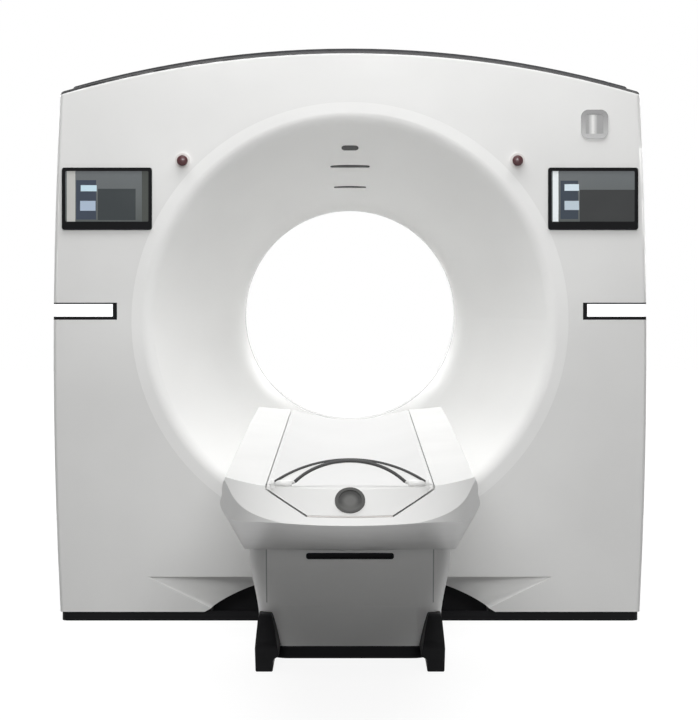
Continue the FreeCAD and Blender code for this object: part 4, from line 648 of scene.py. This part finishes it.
# %% [markdown]
# ## Repeated pieces
# Slats, wires, bolts and detector modules repeat many times, so node trees make them: one small
# form is set out along a line, a grid or a ring, and the result is kept as one plain mesh. Each
# tree has named inputs for its sizes, so a count or a pitch can be changed in one place.

# %% Helpers for node trees
def node_tree(name, inputs):
    """Empty Geometry Nodes tree with named inputs. Returns it, its input and its output."""
    tree = bpy.data.node_groups.new(name, "GeometryNodeTree")
    tree.interface.new_socket("Geometry", in_out="OUTPUT", socket_type="NodeSocketGeometry")
    kinds = {int: "NodeSocketInt", float: "NodeSocketFloat", tuple: "NodeSocketVector"}
    for label, value in inputs.items():
        tree.interface.new_socket(label, in_out="INPUT", socket_type=kinds[type(value)])
    group_in = tree.nodes.new("NodeGroupInput").outputs
    return tree, group_in, tree.nodes.new("NodeGroupOutput")


def add(tree, kind, links=None):
    """A node's outputs; links gives its input sockets by name or number."""
    node = tree.nodes.new(kind)
    for socket, value in (links or {}).items():
        if isinstance(value, bpy.types.NodeSocket):
            tree.links.new(value, node.inputs[socket])
        else:
            node.inputs[socket].default_value = value
    return node.outputs


def grown(name, tree, inputs, material, body):
    """Runs a node tree with these inputs and keeps what it makes as one plain mesh."""
    host = bpy.data.objects.new(name + "_host", bpy.data.meshes.new(name + "_host"))
    bpy.context.scene.collection.objects.link(host)
    modifier = host.modifiers.new("grow", "NODES")
    modifier.node_group = tree
    for item in tree.interface.items_tree:
        if item.item_type == "SOCKET" and item.in_out == "INPUT":
            modifier[item.identifier] = inputs[item.name]
    bpy.context.view_layer.update()
    result = host.evaluated_get(bpy.context.evaluated_depsgraph_get())
    mesh = bpy.data.meshes.new_from_object(result)
    bpy.data.objects.remove(host)
    piece = placed(name, mesh, material)
    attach(piece, body)
    print(name + ":", len(mesh.polygons), "faces")


def finish_tree(tree, sink, geometry, material):
    """The end of every tree: real geometry in one finish."""
    real = add(tree, "GeometryNodeRealizeInstances", {0: geometry})[0]
    done = add(tree, "GeometryNodeSetMaterial", {"Geometry": real, "Material": material})[0]
    tree.links.new(done, sink.inputs[0])


# %% Helpers for forms inside a tree
def point_of(tree, **parts):
    return add(tree, "ShaderNodeCombineXYZ", parts)[0]


def moved(tree, geometry, **change):
    """Geometry after a Translation, Rotation or Scale."""
    return add(tree, "GeometryNodeTransform", {"Geometry": geometry, **change})[0]


def set_out(tree, points, piece, **more):
    """One copy of a piece at each point."""
    links = {"Points": points, "Instance": piece, **more}
    return add(tree, "GeometryNodeInstanceOnPoints", links)[0]


def rows_of_points(tree, width, gap, columns, rows=2):
    """A flat grid of points."""
    links = {"Size X": width, "Size Y": gap, "Vertices X": columns, "Vertices Y": rows}
    return add(tree, "GeometryNodeMeshGrid", links)[0]


def joined(tree, first, second):
    """Two geometries as one."""
    join = add(tree, "GeometryNodeJoinGeometry", {0: first})[0]
    tree.links.new(second, join.node.inputs[0])
    return join


def swept_rod(tree, length, radius, corners):
    """Round rod along X, centred, from a line and a circle."""
    start = point_of(tree, X=math_node(tree, "MULTIPLY", length, -0.5))
    end = point_of(tree, X=math_node(tree, "MULTIPLY", length, 0.5))
    line = add(tree, "GeometryNodeCurvePrimitiveLine", {"Start": start, "End": end})[0]
    circle = add(tree, "GeometryNodeCurvePrimitiveCircle",
                 {"Resolution": corners, "Radius": radius})[0]
    links = {"Curve": line, "Profile Curve": circle, "Fill Caps": True}
    return add(tree, "GeometryNodeCurveToMesh", links)[0]


# %% [markdown]
# ## Slats under the lid's vents
# Two rows of openings in the lid let warm air out, and tilted slats lie across each of them. One
# slat is repeated up a short ladder and the ladder along both rows. The lid is a shallow arch, so
# each point then drops by x squared over twice its radius, which is how far such an arch falls.

# %% Slats
slat_inputs = {"Columns": 14, "Pitch": 0.062, "Row gap": 0.220, "Slats": 9, "Slat pitch": 0.0145,
               "Width": 0.033, "Crown radius": crown_radius, "Height": 2.058, "Middle": 0.005}
slat_radius, slat_corners, slat_tilt, slat_flatness = 0.0042, 10, 0.7, 0.32
tree, given, sink = node_tree("vent_slats", slat_inputs)
slat = swept_rod(tree, given["Width"], slat_radius, slat_corners)
slat = moved(tree, slat, Rotation=(slat_tilt, 0.0, 0.0), Scale=(1.0, 1.0, slat_flatness))
first = math_node(tree, "SUBTRACT", given["Slats"], 1.0)
first = math_node(tree, "MULTIPLY", first, given["Slat pitch"])
first = math_node(tree, "MULTIPLY", first, -0.5)
ladder = add(tree, "GeometryNodeMeshLine", {"Count": given["Slats"],
                                            "Start Location": point_of(tree, Y=first),
                                            "Offset": point_of(tree, Y=given["Slat pitch"])})[0]
ladder = set_out(tree, ladder, slat)
span = math_node(tree, "SUBTRACT", given["Columns"], 1.0)
span = math_node(tree, "MULTIPLY", span, given["Pitch"])
rows = rows_of_points(tree, span, given["Row gap"], given["Columns"])
slats = add(tree, "GeometryNodeRealizeInstances", {0: set_out(tree, rows, ladder)})[0]
place = add(tree, "ShaderNodeSeparateXYZ", {0: add(tree, "GeometryNodeInputPosition")[0]})
square = math_node(tree, "POWER", place["X"], 2.0)
drop = math_node(tree, "DIVIDE", square, math_node(tree, "MULTIPLY", given["Crown radius"], -2.0))
height = math_node(tree, "ADD", drop, given["Height"])
shift = point_of(tree, Y=given["Middle"], Z=height)
slats = add(tree, "GeometryNodeSetPosition", {"Geometry": slats, "Offset": shift})[0]
finish_tree(tree, sink, slats, lid_dark)
grown("vent_slats", tree, slat_inputs, lid_dark, "gantry")

# %% [markdown]
# ## Wire screens behind the rear slots
# Two long slots at the back are closed by wire mesh that keeps fingers out. The upright wires are
# short rods on a grid, and a few long rods cross them. A striped material would be lighter, but
# light has to pass between these wires, so they are real geometry with few corners each.

# %% Wire screens
wire_inputs = {"Length": 0.020, "Radius": 0.0007, "Count": 264, "Pitch": 0.005, "Row gap": 0.120,
               "Rails": 4, "Place": (0.0, 0.5215, 0.300)}
upright_turn, wire_corners = math.pi / 2, 6
rail_pitch, rail_depth, rail_spread = 0.005, 0.0001, 3.0
tree, given, sink = node_tree("slot_screens", wire_inputs)
upright = swept_rod(tree, given["Length"], given["Radius"], wire_corners)
upright = moved(tree, upright, Rotation=(0.0, upright_turn, 0.0))
span = math_node(tree, "MULTIPLY", given["Count"], given["Pitch"])
rows = rows_of_points(tree, span, given["Row gap"], given["Count"])
uprights = set_out(tree, moved(tree, rows, Rotation=(upright_turn, 0.0, 0.0)), upright)
rail = swept_rod(tree, span, given["Radius"], wire_corners)
rails = rows_of_points(tree, rail_pitch, rail_depth, given["Rails"])
rails = moved(tree, rails, Rotation=(0.0, upright_turn, 0.0), Scale=(rail_spread, 1.0, 1.0))
rails = set_out(tree, rails, rail)
row_gap = wire_inputs["Row gap"]
both_rows = add(tree, "GeometryNodeMeshLine", {"Count": 2, "Start Location": (0, 0, -row_gap / 2),
                                               "Offset": (0.0, 0.0, row_gap)})[0]
rails = set_out(tree, both_rows, rails)
screens = moved(tree, joined(tree, uprights, rails), Translation=given["Place"])
finish_tree(tree, sink, screens, zinc)
grown("slot_screens", tree, wire_inputs, zinc, "gantry")

# %% [markdown]
# ## Rings of bolts
# The rotor disc and its bearing are held by rings of hexagon bolts on washers. One bolt is a
# six-sided and a round cylinder, and the ring is a circle of points. The same tree makes both
# rings with other inputs, which is the point of giving a tree inputs at all.

# %% Bolts
bolt_inputs = {"Count": 48, "Ring radius": 0.865, "Head": 0.009, "Height": 0.008,
               "Place": (0.0, 0.09, 1.08)}
bearing_inputs = {**bolt_inputs, "Count": 36, "Ring radius": 0.530}
head_corners, washer_corners = 6, 24
washer_share, washer_thick = 1.3, 0.002
tree, given, sink = node_tree("bolt_ring", bolt_inputs)
head = add(tree, "GeometryNodeMeshCylinder", {"Vertices": head_corners, "Radius": given["Head"],
                                              "Depth": given["Height"]})[0]
wide = math_node(tree, "MULTIPLY", given["Head"], washer_share)
washer = add(tree, "GeometryNodeMeshCylinder", {"Vertices": washer_corners, "Radius": wide,
                                                "Depth": washer_thick})[0]
raised = point_of(tree, Z=math_node(tree, "MULTIPLY", given["Height"], 0.5))
bolt = joined(tree, moved(tree, head, Translation=raised), washer)
circle = add(tree, "GeometryNodeMeshCircle", {"Vertices": given["Count"],
                                              "Radius": given["Ring radius"]})[0]
ring = moved(tree, set_out(tree, circle, bolt), Rotation=(math.pi / 2, 0.0, 0.0),
             Translation=given["Place"])
finish_tree(tree, sink, ring, zinc)
grown("disc_bolts", tree, bolt_inputs, zinc, "rotor")
grown("bearing_bolts", tree, bearing_inputs, zinc, "rotor")

# %% [markdown]
# ## Detector modules along their arc
# The detector is a row of equal modules on an arc about the focus. Each module's place is the
# sine and cosine of its own angle, and its lean is that angle again. A plain circle of points
# would do for a full ring, but this row covers only a part of one.

# %% Detector modules
module_inputs = {"Count": 44, "Radius": 1.094, "Step": 0.0203, "Centre": (0.0, -0.002, 1.706)}
module_size = (0.0205, 0.078, 0.005)
tree, given, sink = node_tree("detector_modules", module_inputs)
module = add(tree, "GeometryNodeMeshCube", {"Size": module_size})[0]
row = add(tree, "GeometryNodeMeshLine", {"Count": given["Count"], "Offset": (0.0, 0.0, 0.0)})[0]
last = math_node(tree, "SUBTRACT", given["Count"], 1.0)
middle = math_node(tree, "MULTIPLY", last, -0.5)
turn = math_node(tree, "ADD", add(tree, "GeometryNodeInputIndex")[0], middle)
turn = math_node(tree, "MULTIPLY", turn, given["Step"])
x = math_node(tree, "MULTIPLY", math_node(tree, "SINE", turn), given["Radius"])
z = math_node(tree, "MULTIPLY", math_node(tree, "COSINE", turn), given["Radius"])
place = point_of(tree, X=x, Z=math_node(tree, "MULTIPLY", z, -1.0))
row = add(tree, "GeometryNodeSetPosition", {"Geometry": row, "Position": place})[0]
lean = point_of(tree, Y=math_node(tree, "MULTIPLY", turn, -1.0))
modules = moved(tree, set_out(tree, row, module, Rotation=lean), Translation=given["Centre"])
finish_tree(tree, sink, modules, fan_black)
grown("detector_modules", tree, module_inputs, fan_black, "rotor")

# %% [markdown]
# ## Camera
# The photograph is a straight front view from about eight metres. The camera looks level and
# square-on, and its lens shift brings the horizon to the photograph's row, which keeps the
# upright edges upright. Tilting the camera down instead would make them lean together.

# %% Camera at the photograph's angle
photo_w, photo_h = 698, 720
camera_y, camera_z = -8.32, 1.38
focal_px, sensor_mm, view_depth = 2172.0, 36.0, 200.0
horizon_row, axis_column = 237.0, 350.0
lens_data = bpy.data.cameras.new("photo_camera")
camera = bpy.data.objects.new("photo_camera", lens_data)
bpy.context.scene.collection.objects.link(camera)
lens_data.sensor_width = sensor_mm
lens_data.lens = focal_px / photo_h * sensor_mm
lens_data.shift_x = (photo_w / 2 - axis_column) / photo_h
lens_data.shift_y = (horizon_row - photo_h / 2) / photo_h
lens_data.clip_end = view_depth
camera.location = (0.0, camera_y, camera_z)
camera.rotation_euler = (math.radians(90), 0, 0)
bpy.context.scene.camera = camera
print("camera lens", round(lens_data.lens, 1), "mm, shift", round(lens_data.shift_x, 4),
      round(lens_data.shift_y, 4))

# %% [markdown]
# ## Floor and world
# The scanner stands on a white floor in front of white. A bright world would do that too, but it
# would wash the shadows out of the covers. So the white is only for rays that come from the
# camera, from a mirror or through glass, and the light on the covers comes from the lamps. Close
# to the scanner the floor's own shade is mixed in, which leaves it a soft shadow.

# %% World
white, ambient_strength = (1.0, 1.0, 1.0, 1.0), 0.02


def seen_ray(tree):
    """1 for what the camera sees itself, in a mirror or through glass."""
    path = tree.nodes.new("ShaderNodeLightPath").outputs
    seen = math_node(tree, "MAXIMUM", path["Is Camera Ray"], path["Is Glossy Ray"])
    return math_node(tree, "MAXIMUM", seen, path["Is Transmission Ray"])


def mixed_shader(tree, factor, first, second, output):
    """Sends the first shader, or the second where the factor is 1, to the output."""
    mix = tree.nodes.new("ShaderNodeMixShader")
    tree.links.new(factor, mix.inputs["Fac"])
    tree.links.new(first.outputs[0], mix.inputs[1])
    tree.links.new(second.outputs[0], mix.inputs[2])
    tree.links.new(mix.outputs[0], tree.nodes[output].inputs["Surface"])


world = bpy.context.scene.world or bpy.data.worlds.new("studio")
bpy.context.scene.world = world
world.use_nodes = True
world_tree = world.node_tree
ambient = world_tree.nodes["Background"]
ambient.inputs["Color"].default_value = white
ambient.inputs["Strength"].default_value = ambient_strength
backdrop = world_tree.nodes.new("ShaderNodeBackground")
backdrop.inputs["Color"].default_value = white
backdrop.inputs["Strength"].default_value = 1.0
mixed_shader(world_tree, seen_ray(world_tree), ambient, backdrop, "World Output")
print("world: strength", ambient_strength, "on the scanner")

# %% Floor
floor_reach, floor_grey, floor_bounce, glow_strength = 14.0, 0.82, 0.13, 1.08
shadow_from, shadow_to, near_glow = 1.6, 3.2, 0.84
shadow_middle_y, shadow_stretch = 0.9, 0.8
corners = [(x * floor_reach, y * floor_reach, 0) for x, y in ((-1, -1), (1, -1), (1, 1), (-1, 1))]
floor_mesh = bpy.data.meshes.new("studio_floor")
floor_mesh.from_pydata(corners, [], [(0, 1, 2, 3)])
floor_paint, floor_tree, floor_shader = new_material("studio_floor", (floor_grey,) * 3, 0.9)
floor = placed("studio_floor", floor_mesh, floor_paint)
glow = floor_tree.nodes.new("ShaderNodeEmission")
glow.inputs["Color"].default_value = white
glow.inputs["Strength"].default_value = glow_strength
far = floor_tree.nodes.new("ShaderNodeVectorMath")
far.operation = "LENGTH"
floor_point = object_point(floor_tree, (1.0, shadow_stretch, 1.0), (0.0, shadow_middle_y, 0.0))
floor_tree.links.new(floor_point, far.inputs[0])
fade = remap(floor_tree, far.outputs["Value"], shadow_from, shadow_to, near_glow, 1.0)
seen = seen_ray(floor_tree)
floor_tree.links.new(mix_colour(floor_tree, seen, (floor_bounce,) * 3, (floor_grey,) * 3),
                     floor_shader.inputs["Base Color"])
mixed_shader(floor_tree, math_node(floor_tree, "MULTIPLY", seen, fade), floor_shader, glow,
             "Material Output")
print("floor:", 2 * floor_reach, "m wide")

# %% [markdown]
# ## Lamps
# The light is broad and soft, from above and in front: large lamps are what make the funnel shade
# so gently. A low weak one lifts the pedestal under the table, and narrow ones at the sides and
# the back serve the other views without shining through the bore. Their powers were set by
# comparing tones with the photograph, and the white table top stays just below pure white.

# %% Lamps
def area_lamp(name, place, aim, size, power, spread=180.0):
    """A lamp of a width and a height in metres, aimed at a point."""
    data = bpy.data.lights.new(name, "AREA")
    data.shape = "RECTANGLE"
    data.size, data.size_y = size
    data.energy = power
    data.spread = math.radians(spread)
    lamp = bpy.data.objects.new(name, data)
    lamp.location = place
    lamp.rotation_euler = (Vector(aim) - Vector(place)).to_track_quat("-Z", "Y").to_euler()
    bpy.context.scene.collection.objects.link(lamp)


area_lamp("overhead_near", (0.0, -1.2, 4.4), (0.0, -1.2, 0.5), (4.5, 1.6), 137.0)
area_lamp("overhead_front", (0.0, -3.2, 4.4), (0.0, -2.9, 0.5), (3.0, 1.6), 22.0)
area_lamp("front_fill", (0.0, -7.5, 3.5), (0.0, -0.5, 1.1), (3.0, 1.4), 222.0)
area_lamp("low_fill", (0.0, -7.0, 0.55), (0.0, -1.4, 0.4), (2.0, 0.5), 13.0)
for side, word in sides:
    area_lamp("side_fill_" + word, (side * 5.5, 2.2, 2.4), (side, 0.7, 1.1), (2.0, 2.0), 9.0, 40.0)
    area_lamp("back_fill_" + word, (side * 3.6, 5.6, 3.2), (side * 0.8, 0.5, 1.1), (2.4, 2.0),
              48.0, 80.0)
print("lamps:", len(bpy.data.lights))

# %% [markdown]
# The Standard view shows a colour as it is written, so paint values can be compared with the
# photograph.

# %% Colour management
bpy.context.scene.view_settings.view_transform = "Standard"
print("view transform:", bpy.context.scene.view_settings.view_transform)
